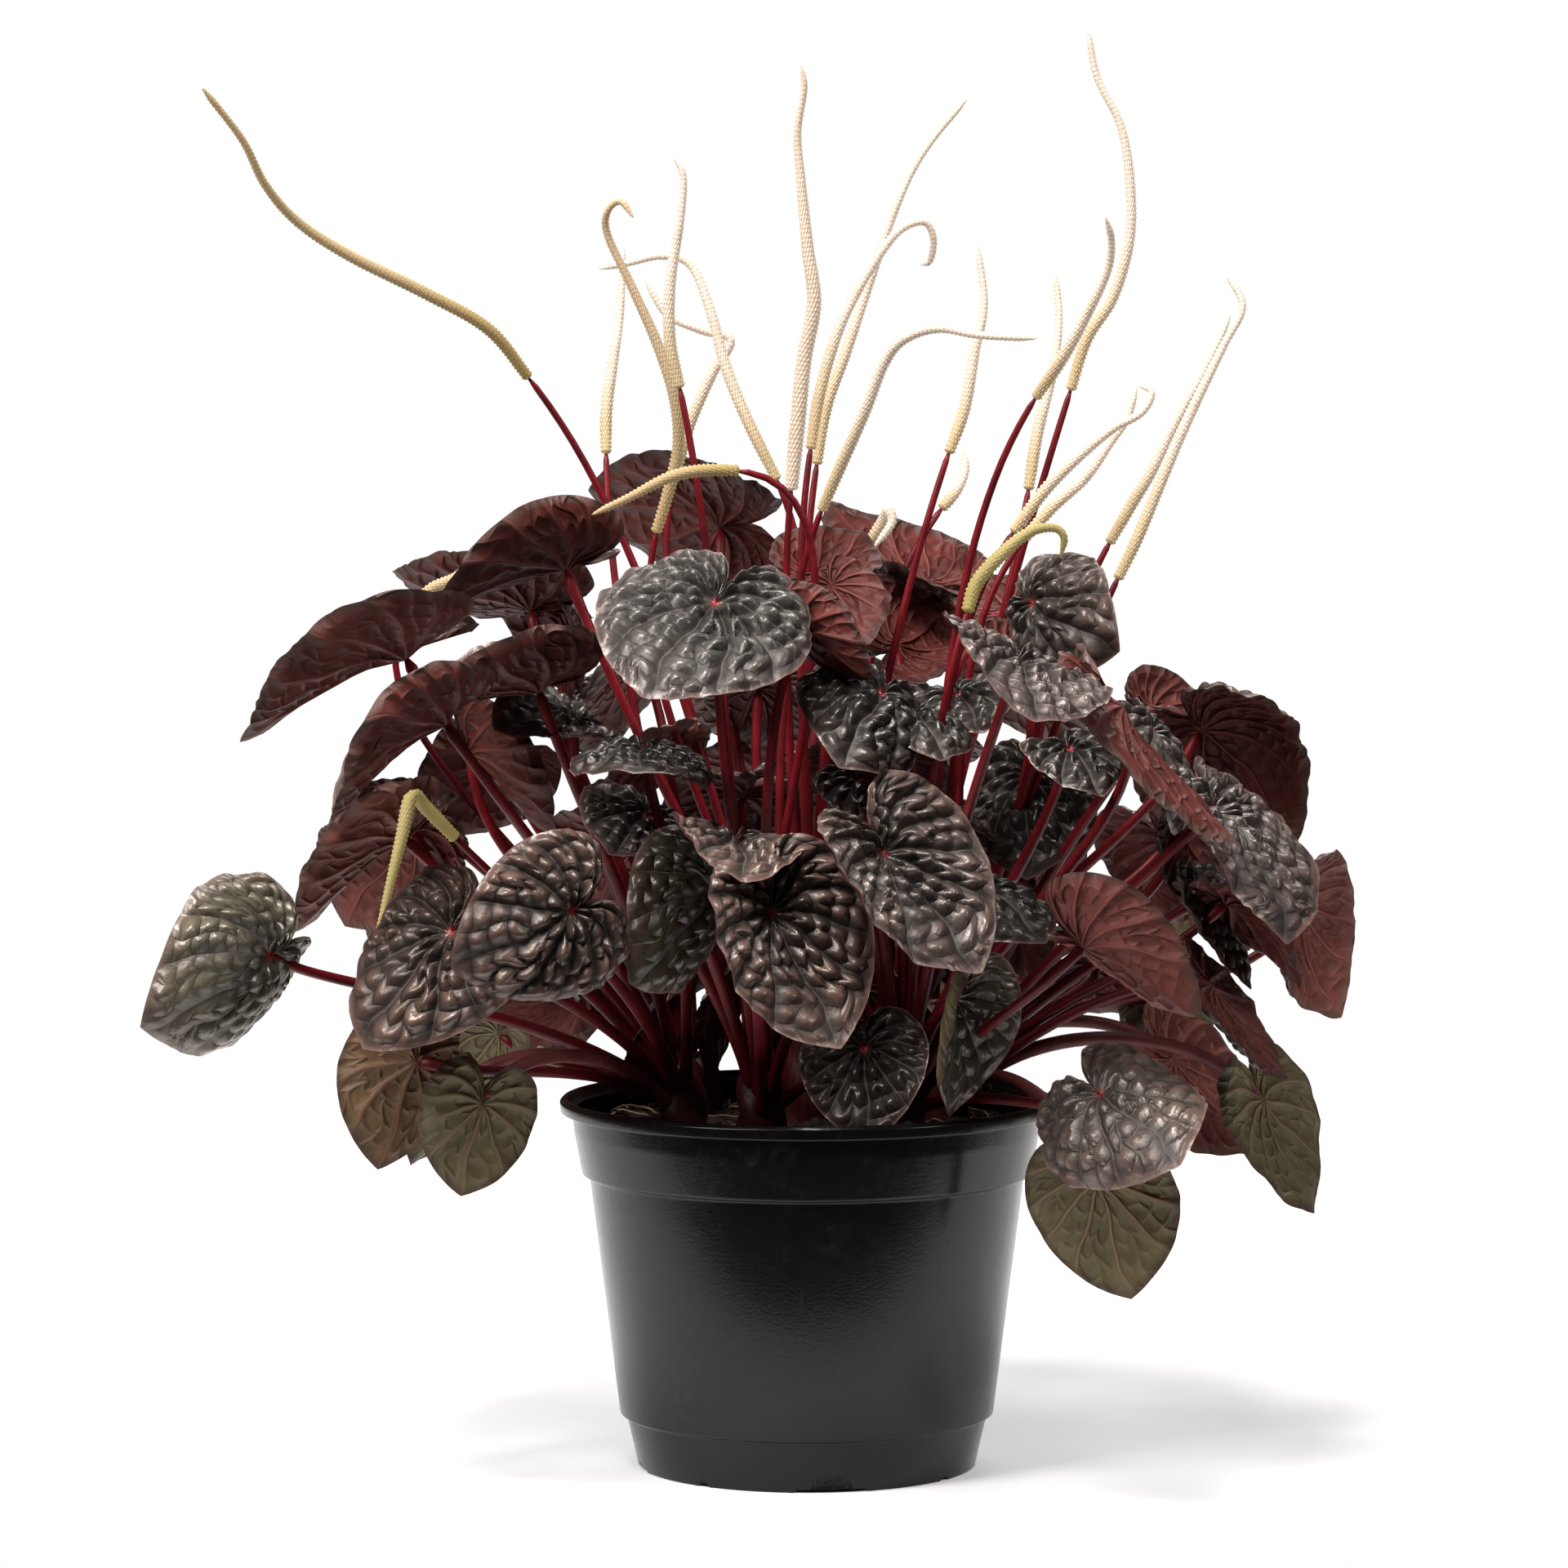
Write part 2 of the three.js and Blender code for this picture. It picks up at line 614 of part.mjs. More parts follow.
// Where a stalk leaves its crown: the flatter it runs, the nearer the soil
function rootOn(crown, target) {
  const slope = ([x, y, z]) => (z - SOIL_TOP) / Math.hypot(x - crown.at[0], y - crown.at[1]);
  const targets = [...crown.leaves, ...crown.spikes].map(([first]) => first);
  const rank = targets.filter((other) => slope(other) < slope(target)).length;
  const share = rank / (targets.length - 1);
  const away = vec(target[0] - crown.at[0], target[1] - crown.at[1], 0).setLength(ROOT_OFFSET);
  return away.add(vec(...crown.at, SOIL_TOP + THREE.MathUtils.lerp(6, crown.height - 4, share)));
}

const leafSolid = (crown, leaf) => solid(leafGeometry(rootOn(crown, leaf[0]), leaf));

function peduncleSolid(crown, spike) {
  const taper = (along) => THREE.MathUtils.lerp(PEDUNCLE.root, PEDUNCLE.end, along);
  const curve = peduncleCurve(rootOn(crown, spike[0]), spike);
  return rod(curve, PEDUNCLE.sides, PEDUNCLE.steps, taper);
}

// A crown's stem stands in its hole and narrows upwards
function stemSolid(crown) {
  const foot = vec(crown.at[0], crown.at[1], SOIL_TOP - HOLE_DEPTH + CLEARANCE);
  const head = vec(crown.at[0], crown.at[1], SOIL_TOP + crown.height);
  const radiusAt = (along) => THREE.MathUtils.lerp(CROWN.root, CROWN.top, along);
  return rod(new THREE.LineCurve3(foot, head), CROWN.sides, CROWN.steps, radiusAt);
}

function crownSolid(crown) {
  const leaves = crown.leaves.map((leaf) => leafSolid(crown, leaf));
  const stalks = crown.spikes.map((spike) => peduncleSolid(crown, spike));
  return joined([stemSolid(crown), ...leaves, ...stalks]).simplify(SEAM);
}

// A spike is a rod with florets as beads in rows, rounded at its tip
function spikeSolid(spike) {
  const curve = spikeCurve(spike);
  const steps = Math.max(6, Math.round(curve.getLength() / SPIKE.pitch));
  const radiusAt = (along, step) => {
    const tip = step === steps ? 0.5 : 1;
    return tip * (SPIKE.radius + (step % 2 ? SPIKE.bead : -SPIKE.bead));
  };
  return rod(curve, SPIKE.sides, steps, radiusAt);
}

for (const tier of TIERS) {
  for (let i = 0; i < tier.count; i += 1) {
    const { crown, leaf } = outwardLeaf(tier, i);
    CROWNS.find(({ name }) => name === crown).leaves.push(leaf);
  }
}

// Materials
const plastic = new THREE.MeshStandardMaterial({ color: 0x151517, roughness: 0.42, metalness: 0 });
const earth = new THREE.MeshStandardMaterial({ color: 0x2b1d14, roughness: 0.95, metalness: 0 });
const foliage = new THREE.MeshStandardMaterial({ color: 0x4a1c28, roughness: 0.4, metalness: 0 });
const flower = new THREE.MeshStandardMaterial({ color: 0xe9d9b4, roughness: 0.6, metalness: 0 });

const plant = new THREE.Group();
plant.add(named("pot", potSolid(), plastic));
plant.add(named("soil", soilSolid(), earth));
for (const crown of CROWNS) {
  plant.add(named(`${crown.name}_crown`, crownSolid(crown), foliage));
  crown.spikes.forEach((spike, i) => {
    plant.add(named(`${crown.name}_spike_${i + 1}`, spikeSolid(spike), flower));
  });
}

export default plant;
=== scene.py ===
import random
from math import atan2, ceil, cos, degrees, exp, hypot, pi, radians, sin

import bmesh
import bpy
from mathutils import Matrix, Vector, geometry, noise


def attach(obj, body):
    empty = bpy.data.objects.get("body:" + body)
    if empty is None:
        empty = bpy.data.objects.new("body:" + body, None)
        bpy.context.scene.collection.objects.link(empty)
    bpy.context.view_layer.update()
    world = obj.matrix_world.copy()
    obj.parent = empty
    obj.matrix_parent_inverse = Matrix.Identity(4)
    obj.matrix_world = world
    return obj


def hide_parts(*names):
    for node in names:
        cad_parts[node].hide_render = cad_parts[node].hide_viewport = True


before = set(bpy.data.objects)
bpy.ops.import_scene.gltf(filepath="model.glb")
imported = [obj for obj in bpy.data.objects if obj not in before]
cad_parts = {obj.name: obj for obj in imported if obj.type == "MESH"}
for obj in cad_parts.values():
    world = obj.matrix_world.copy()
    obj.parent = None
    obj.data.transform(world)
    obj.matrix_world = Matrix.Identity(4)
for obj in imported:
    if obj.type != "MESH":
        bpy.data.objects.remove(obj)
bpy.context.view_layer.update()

# The pot
# One thin shell of black polypropylene, injection moulded, that tapers to a notched foot ring.
# It has a plain band below its turned-out lip, drain holes in its floor, and is hardly worn.

MM = 0.001
POT_HEIGHT = 114
WALL_FOOT = (52.1, 0)
WALL_TOP_OF_FOOT = (55.7, 15.6)
RING_FOOT = (50.5, 0)
RING_INSIDE = (49.9, 6)
POT_PROFILE = [
    (0, 0), (18, 0), (19.5, 6), RING_INSIDE, RING_FOOT, WALL_FOOT, WALL_TOP_OF_FOOT,
    (57.7, 16.4), (67.1, 90), (69.4, 90.8), (71.8, 103.8), (72.4, 109.6), (76, 109.9),
    (76.2, 112.9), (75.2, POT_HEIGHT), (73.9, POT_HEIGHT), (73.4, 111.5), (70.9, 111.2),
    (70.1, 103.8), (67.7, 92.4), (65.5, 91.2), (55.6, 16.6), (52.6, 7.6), (18.2, 7.6),
    (16.6, 1.6), (0, 1.6),
]
POT_STEPS = 264
PROP_GAP = 0.9
PROP_SHARE = 0.25
CORNER_ANGLE = radians(28)
CORNER_ROUND = 0.55
NOTCH_BEARING = 8
NOTCH_PITCH = 90
NOTCH = {"bottom": 23, "top": 10, "height": 5.6}
SMALL_NOTCH = {"bottom": 4, "top": 3, "height": 2}
DRAIN = {"count": 8, "circle": 36, "radius": 4.5, "middle": 7, "depth": 6}
WELD = 0.002 * MM


class Wire:
    """A node's output. Sums on it add Math nodes."""

    def __init__(self, finish, socket):
        self.finish = finish
        self.socket = socket

    def math(self, operation, *values):
        sockets = dict(enumerate(values))
        return self.finish.node("ShaderNodeMath", {"operation": operation}, sockets)

    def __add__(self, other):
        return self.math("ADD", self, other)

    def __sub__(self, other):
        return self.math("SUBTRACT", self, other)

    def __rsub__(self, other):
        return self.math("SUBTRACT", other, self)

    def __mul__(self, other):
        return self.math("MULTIPLY", self, other)

    def __truediv__(self, other):
        return self.math("DIVIDE", self, other)

    def __pow__(self, other):
        return self.math("POWER", self, other)

    def __abs__(self):
        return self.math("ABSOLUTE", self)

    __radd__ = __add__
    __rmul__ = __mul__

    def __mod__(self, other):
        return self.math("FLOORED_MODULO", self, other)

    def sine(self):
        return self.math("SINE", self)

    def ramp(self, low, high):
        """0 below low, 1 above high, and an even curve between."""
        sockets = {"Value": self, "From Min": low, "From Max": high}
        return self.finish.node("ShaderNodeMapRange", {"interpolation_type": "SMOOTHSTEP"}, sockets)


class Finish:
    """A material: one Principled shader, with what changes over the surface wired to it."""

    def __init__(self, name, **even):
        self.material = bpy.data.materials.new(name)
        self.material.use_nodes = True
        self.tree = self.material.node_tree
        self.tree.nodes.clear()
        named = {key.replace("_", " ").title().replace("Ior", "IOR"): even[key] for key in even}
        self.shader = self.node("ShaderNodeBsdfPrincipled", {}, named).socket.node
        surface = {"Surface": Wire(self, self.shader.outputs[0])}
        self.node("ShaderNodeOutputMaterial", {}, surface, None)

    def node(self, kind, settings, sockets, output=0):
        node = self.tree.nodes.new(kind)
        for key, value in settings.items():
            setattr(node, key, value)
        for key, value in sockets.items():
            self.feed(node.inputs[key], value)
        return None if output is None else Wire(self, node.outputs[output])

    def feed(self, socket, value):
        if isinstance(value, Wire):
            self.tree.links.new(value.socket, socket)
        else:
            socket.default_value = value

    def wire(self, **changing):
        for key, value in changing.items():
            self.feed(self.shader.inputs[key.replace("_", " ").title()], value)

    def mix(self, share, first, second):
        """The first colour where share is 0 and the second where it is 1."""
        colours = {0: share, 6: first, 7: second}
        return self.node("ShaderNodeMix", {"data_type": "RGBA"}, colours, 2)

    def noise(self, place, size, detail=2, stretch=(1, 1, 1)):
        """Soft noise whose spots are size mm across, from 0 to 1."""
        factors = {0: place, 1: stretch}
        place = self.node("ShaderNodeVectorMath", {"operation": "MULTIPLY"}, factors)
        sockets = {"Vector": place, "Scale": 1 / (size * MM), "Detail": detail}
        return self.node("ShaderNodeTexNoise", {}, sockets)

    def bump(self, height, distance):
        """Shading of a relief, distance mm deep where height goes from 0 to 1."""
        sockets = {"Height": height, "Distance": distance * MM, "Strength": 1}
        return self.node("ShaderNodeBump", {}, sockets)

    def place(self):
        return self.node("ShaderNodeTexCoord", {}, {}, "Object")


def propped(profile):
    """The profile with a point put in near both ends of its long sides, so that they shade flat."""
    points = [profile[0]]
    for start, end in zip(profile, profile[1:]):
        share = PROP_GAP / hypot(end[0] - start[0], end[1] - start[1])
        if share < PROP_SHARE:
            for part in (share, 1 - share):
                points.append(tuple(a + (b - a) * part for a, b in zip(start, end)))
        points.append(end)
    return points


def turned(profile, steps):
    """A closed body turned about the Z axis from (radius, height) points in mm."""
    shape = bmesh.new()
    ring = [shape.verts.new((radius * MM, 0, height * MM)) for radius, height in profile]
    edges = [shape.edges.new(pair) for pair in zip(ring, ring[1:])]
    bmesh.ops.spin(shape, geom=ring + edges, cent=(0, 0, 0), axis=(0, 0, 1), angle=2 * pi,
                   steps=steps, use_merge=True)
    bmesh.ops.remove_doubles(shape, verts=shape.verts, dist=5 * WELD)
    bmesh.ops.recalc_face_normals(shape, faces=shape.faces)
    return shape


def piece(name, shape, finishes, sharp=50):
    """The finished object of a bmesh, smooth but for edges sharper than sharp degrees."""
    mesh = bpy.data.meshes.new(name)
    shape.to_mesh(mesh)
    shape.free()
    for finish in finishes:
        mesh.materials.append(finish.material)
    mesh.shade_smooth()
    mesh.set_sharp_from_angle(angle=radians(sharp))
    made = bpy.data.objects.new(name, mesh)
    bpy.context.scene.collection.objects.link(made)
    return made


def cut(made, cutter):
    """Takes the cutter's shape out of a piece for good."""
    tool = piece("cutter", cutter, [])
    modifier = made.modifiers.new("cut", "BOOLEAN")
    modifier.operation = "DIFFERENCE"
    modifier.solver = "EXACT"
    modifier.object = tool
    whole = made.evaluated_get(bpy.context.evaluated_depsgraph_get())
    mesh = bpy.data.meshes.new_from_object(whole)
    made.modifiers.clear()
    made.data = mesh
    bpy.data.objects.remove(tool)


def notch_height(bearing):
    """How far the foot ring is cut up at a bearing, in mm."""
    tallest = 0
    half_pitch = NOTCH_PITCH / 2
    for notch, first in ((NOTCH, NOTCH_BEARING), (SMALL_NOTCH, NOTCH_BEARING + half_pitch)):
        off = (bearing - first + half_pitch) % NOTCH_PITCH - half_pitch
        reach = abs(WALL_FOOT[0] * sin(radians(off)))
        slope = (notch["bottom"] / 2 - reach) / ((notch["bottom"] - notch["top"]) / 2)
        tallest = max(tallest, notch["height"] * min(max(slope, 0), 1))
    return tallest


pot_shape = turned(propped(POT_PROFILE), POT_STEPS)
middle_of_ring = (RING_FOOT[0] + WALL_FOOT[0]) / 2
for vert in pot_shape.verts:
    radius = hypot(vert.co.x, vert.co.y) / MM
    if radius > RING_INSIDE[0] and vert.co.z < WELD:
        lift = notch_height(degrees(atan2(vert.co.x, -vert.co.y)))
        outer = (WALL_FOOT, WALL_TOP_OF_FOOT)
        foot, top = outer if radius > middle_of_ring else (RING_FOOT, RING_INSIDE)
        new_radius = foot[0] + (top[0] - foot[0]) * (lift / top[1])
        vert.co.x *= new_radius / radius
        vert.co.y *= new_radius / radius
        vert.co.z = lift * MM
corners = [edge for edge in pot_shape.edges if edge.calc_face_angle(0) > CORNER_ANGLE]
bmesh.ops.bevel(pot_shape, geom=corners, offset=CORNER_ROUND * MM, affect="EDGES", segments=3,
                profile=0.5, material=-1, clamp_overlap=True)

plastic = Finish("black plastic", specular_ior_level=0.3)
place = plastic.place()
dust = plastic.noise(place, 26, 3) * plastic.noise(place, 3, 4)
handled = plastic.noise(place, 34, 2).ramp(0.45, 0.62)
rubs = plastic.noise(place, 1.4, 2, (1, 1, 0.08)).ramp(0.6, 0.75) * handled
worn = dust.ramp(0.28, 0.55) * 0.5 + rubs * 0.18
plastic.wire(
    base_color=plastic.mix(worn, (0.0035, 0.003, 0.003, 1), (0.022, 0.019, 0.017, 1)),
    roughness=0.17 + dust * 0.2 + rubs * 0.1,
    normal=plastic.bump(plastic.noise(place, 0.9, 2) + plastic.noise(place, 22, 1) * 3, 0.03),
)

pot = piece("nursery_pot", pot_shape, [plastic], 35)
drains = bmesh.new()
for i in range(DRAIN["count"]):
    bearing = radians(NOTCH_BEARING + (i + 0.5) * 360 / DRAIN["count"])
    x, y = DRAIN["circle"] * sin(bearing), -DRAIN["circle"] * cos(bearing)
    centre = Matrix.Translation((x * MM, y * MM, DRAIN["middle"] * MM))
    bmesh.ops.create_cone(drains, cap_ends=True, segments=32, radius1=DRAIN["radius"] * MM,
                          radius2=DRAIN["radius"] * MM, depth=DRAIN["depth"] * MM, matrix=centre)
cut(pot, drains)
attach(pot, "root")
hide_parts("pot")

# The soil
# A peat potting mix, dark and moist, that fills the pot to 9 mm below its lip. Its top is a crust
# of loose crumbs with a few straw fibres, heaped a little round the crowns.

SOIL_TOP = 105
SOIL_LUMP = 1.7
LUMPS_END = 70
LUMPS_FADE = 14
SOIL_EDGE = 69.7
SOIL_WALL = [
    (0, 1.9), (16.2, 1.9), (18, 7.9), (51.6, 7.9), (65, 91), (69.6, 103.2), (SOIL_EDGE, 104.2),
]
SOIL_RINGS = 52
SOIL_STEPS = 200


def soil_height(x, y):
    """The top of the soil at a place in mm."""
    broad = sin(x / 7 + 1) * cos(y / 9) + 0.4
    lumps = noise.noise((x / 5, y / 5, 3)) * 1.6 + noise.noise((x / 1.9, y / 1.9, 9)) * 0.8
    calm = min(1, (LUMPS_END - hypot(x, y)) / LUMPS_FADE)
    return SOIL_TOP + SOIL_LUMP * broad * calm + lumps


soil_top = [(SOIL_EDGE * (1 - i / SOIL_RINGS), SOIL_TOP) for i in range(SOIL_RINGS + 1)]
soil_shape = turned(SOIL_WALL + soil_top, SOIL_STEPS)
for vert in soil_shape.verts:
    if vert.co.z > (SOIL_TOP - 0.1) * MM:
        vert.co.z = soil_height(vert.co.x / MM, vert.co.y / MM) * MM

earth = Finish("potting mix", roughness=0.95, specular_ior_level=0.25)
place = earth.place()
flecks = earth.noise(place, 1.6, 4).ramp(0.35, 0.7)
damp = earth.noise(place, 15, 2).ramp(0.3, 0.7)
peat = earth.mix(damp, (0.004, 0.0016, 0.0012, 1), (0.012, 0.006, 0.004, 1))
earth.wire(
    base_color=earth.mix(flecks * 0.8, peat, (0.05, 0.028, 0.017, 1)),
    normal=earth.bump(earth.noise(place, 1.1, 5), 0.8),
)
soil = piece("potting_mix", soil_shape, [earth], 80)
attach(soil, "root")
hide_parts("soil")

# The loose crust
# Crumbs of peat and bark and short fibres of straw, dropped on the soil and held by nothing but
# their weight.

CRUMBS = 420
CRUMB_REACH = 68
CRUMB_SINK = 0.25
SMALL_CRUMB = (0.5, 1.5)
LARGE_CRUMB = (1.6, 2.6)
SMALL_SHARE = 0.85
JOLT = 0.3
JOLT_SPAN = 1.3 * MM
JOLT_SHIFTS = (Vector((0, 0, 0)), Vector((31, 7, 3)), Vector((5, 17, 41)))
FIBRES = 46
FIBRE_REACH = 66
FIBRE_LIMIT = 68.5
FIBRE_LENGTH = (5, 22)
FIBRE_RADIUS = (0.16, 0.42)
FIBRE_STEPS = 6
FIBRE_ARCH = 1.2
FIBRE_LIFT = 0.5

crust_draw = random.Random(7)
crumb_shape = bmesh.new()
for i in range(CRUMBS):
    away = CRUMB_REACH * crust_draw.random() ** 0.5
    bearing = crust_draw.uniform(0, 2 * pi)
    x, y = away * sin(bearing), -away * cos(bearing)
    sizes = SMALL_CRUMB if crust_draw.random() < SMALL_SHARE else LARGE_CRUMB
    size = crust_draw.uniform(*sizes)
    squash = Matrix.Diagonal((1, crust_draw.uniform(0.6, 1), crust_draw.uniform(0.4, 0.8), 1))
    spin = Matrix.Rotation(crust_draw.uniform(0, pi), 4, "Z")
    tilt = Matrix.Rotation(crust_draw.uniform(-0.5, 0.5), 4, "X")
    lift = Matrix.Translation(Vector((x, y, soil_height(x, y) + CRUMB_SINK * size)) * MM)
    lump = bmesh.ops.create_icosphere(crumb_shape, subdivisions=1, radius=size * MM,
                                      matrix=lift @ spin @ tilt @ squash)
    for vert in lump["verts"]:
        spot = vert.co / JOLT_SPAN
        jolt = Vector([noise.noise(spot + shift) for shift in JOLT_SHIFTS])
        vert.co += jolt * JOLT * size * MM
crumbs = piece("soil_crumbs", crumb_shape, [earth], 60)
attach(crumbs, "root")


def wrapped(around, along, position, colour_at):
    """A closed body whose skin is a grid: position(u, v) puts each point of it in mm."""
    shape = bmesh.new()
    bmesh.ops.create_grid(shape, x_segments=around, y_segments=along, size=0.5)
    tint = shape.verts.layers.float_color.new("tint") if colour_at else None
    for vert in shape.verts:
        u, v = vert.co.x + 0.5, vert.co.y + 0.5
        vert.co = position(u, v) * MM
        if colour_at:
            vert[tint] = colour_at(u, v)
    bmesh.ops.remove_doubles(shape, verts=shape.verts, dist=WELD)
    bmesh.ops.recalc_face_normals(shape, faces=shape.faces)
    return shape


def rod(path, radius_at, sides, steps, colour_at=None):
    """A rod along path points in mm, closed and rounded at its ends."""
    lengths = [0]
    for start, end in zip(path, path[1:]):
        lengths.append(lengths[-1] + (end - start).length)
    side = Vector((1, 0.3, 0.1))
    frames = []
    for step in range(steps + 1):
        run = lengths[-1] * step / steps
        k = max(i for i in range(len(path) - 1) if lengths[i] <= run + 1e-9)
        share = min(1, (run - lengths[k]) / max(lengths[k + 1] - lengths[k], 1e-9))
        behind = path[k + 1] - path[k]
        ahead = path[k + 2] - path[k + 1] if k + 2 < len(path) else behind
        way = behind.normalized().lerp(ahead.normalized(), share).normalized()
        side = (side - way * side.dot(way)).normalized()
        frames.append((path[k].lerp(path[k + 1], share), side, way.cross(side)))

    def position(u, v):
        centre, side, cross = frames[round(v * steps)]
        turn = 2 * pi * u
        radius = radius_at(v, turn)
        return centre + side * radius * cos(turn) + cross * radius * sin(turn)

    return wrapped(sides, steps, position, colour_at)


def add_to(whole, part):
    """Joins one bmesh to another."""
    mesh = bpy.data.meshes.new("part")
    part.to_mesh(mesh)
    part.free()
    whole.from_mesh(mesh)
    bpy.data.meshes.remove(mesh)


fibre_shape = bmesh.new()
for i in range(FIBRES):
    away = FIBRE_REACH * crust_draw.random() ** 0.4
    bearing = crust_draw.uniform(0, 2 * pi)
    heading = crust_draw.uniform(0, 2 * pi)
    length = crust_draw.uniform(*FIBRE_LENGTH)
    x, y = away * sin(bearing), -away * cos(bearing)
    curl = crust_draw.uniform(-0.9, 0.9)
    path = []
    for step in range(FIBRE_STEPS + 1):
        run = length * (step / FIBRE_STEPS - 0.5)
        turn = heading + curl * step / FIBRE_STEPS
        px, py = x + run * cos(turn), y + run * sin(turn)
        keep = min(1, FIBRE_LIMIT / max(hypot(px, py), 1))
        px, py = px * keep, py * keep
        above = FIBRE_LIFT + FIBRE_ARCH * sin(pi * step / FIBRE_STEPS)
        path.append(Vector((px, py, soil_height(px, py) + above)))
    thick = crust_draw.uniform(*FIBRE_RADIUS)

    def fibre_radius(v, turn):
        return thick * min(1, 40 * v, 40 * (1 - v))

    add_to(fibre_shape, rod(path, fibre_radius, 6, 12))

straw = Finish("straw", specular_ior_level=0.3)
place = straw.place()
straw.wire(
    base_color=straw.mix(straw.noise(place, 6, 2), (0.16, 0.09, 0.045, 1), (0.42, 0.30, 0.18, 1)),
    roughness=0.7 + straw.noise(place, 2, 1) * 0.2,
)
fibres = piece("straw_fibres", fibre_shape, [straw], 80)
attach(fibres, "root")

# The crowns
# Eight rooted plants stand close together. Each is a short thick stem with its leaves on long red
# stalks and its flower stalks. The blades are thick and brittle, quilted between sunken veins.

TINTS = {
    "silver": (0.12, 0.11, 0.10),
    "grey": (0.13, 0.092, 0.077),
    "brown": (0.16, 0.094, 0.072),
    "dark": (0.036, 0.030, 0.026),
    # black: painted shade, for a leaf that faces the overhead lamp but is darkened to look shaded.
    "black": (0.018, 0.016, 0.015),
    "pink": (0.13, 0.090, 0.080),
    "green": (0.050, 0.046, 0.024),
    "copper": (0.14, 0.098, 0.078),
    "glossy": (0.16, 0.14, 0.095),
    "burgundy": (0.13, 0.026, 0.020),
    "wine": (0.085, 0.014, 0.010),
    "rose": (0.28, 0.080, 0.068),
    "mauve": (0.18, 0.050, 0.040),
    "olive": (0.14, 0.12, 0.058),
    "rust": (0.17, 0.10, 0.050),
    "crimson": (0.20, 0.007, 0.013),
    "dusty": (0.33, 0.090, 0.085),
    "stem": (0.055, 0.011, 0.009),
}
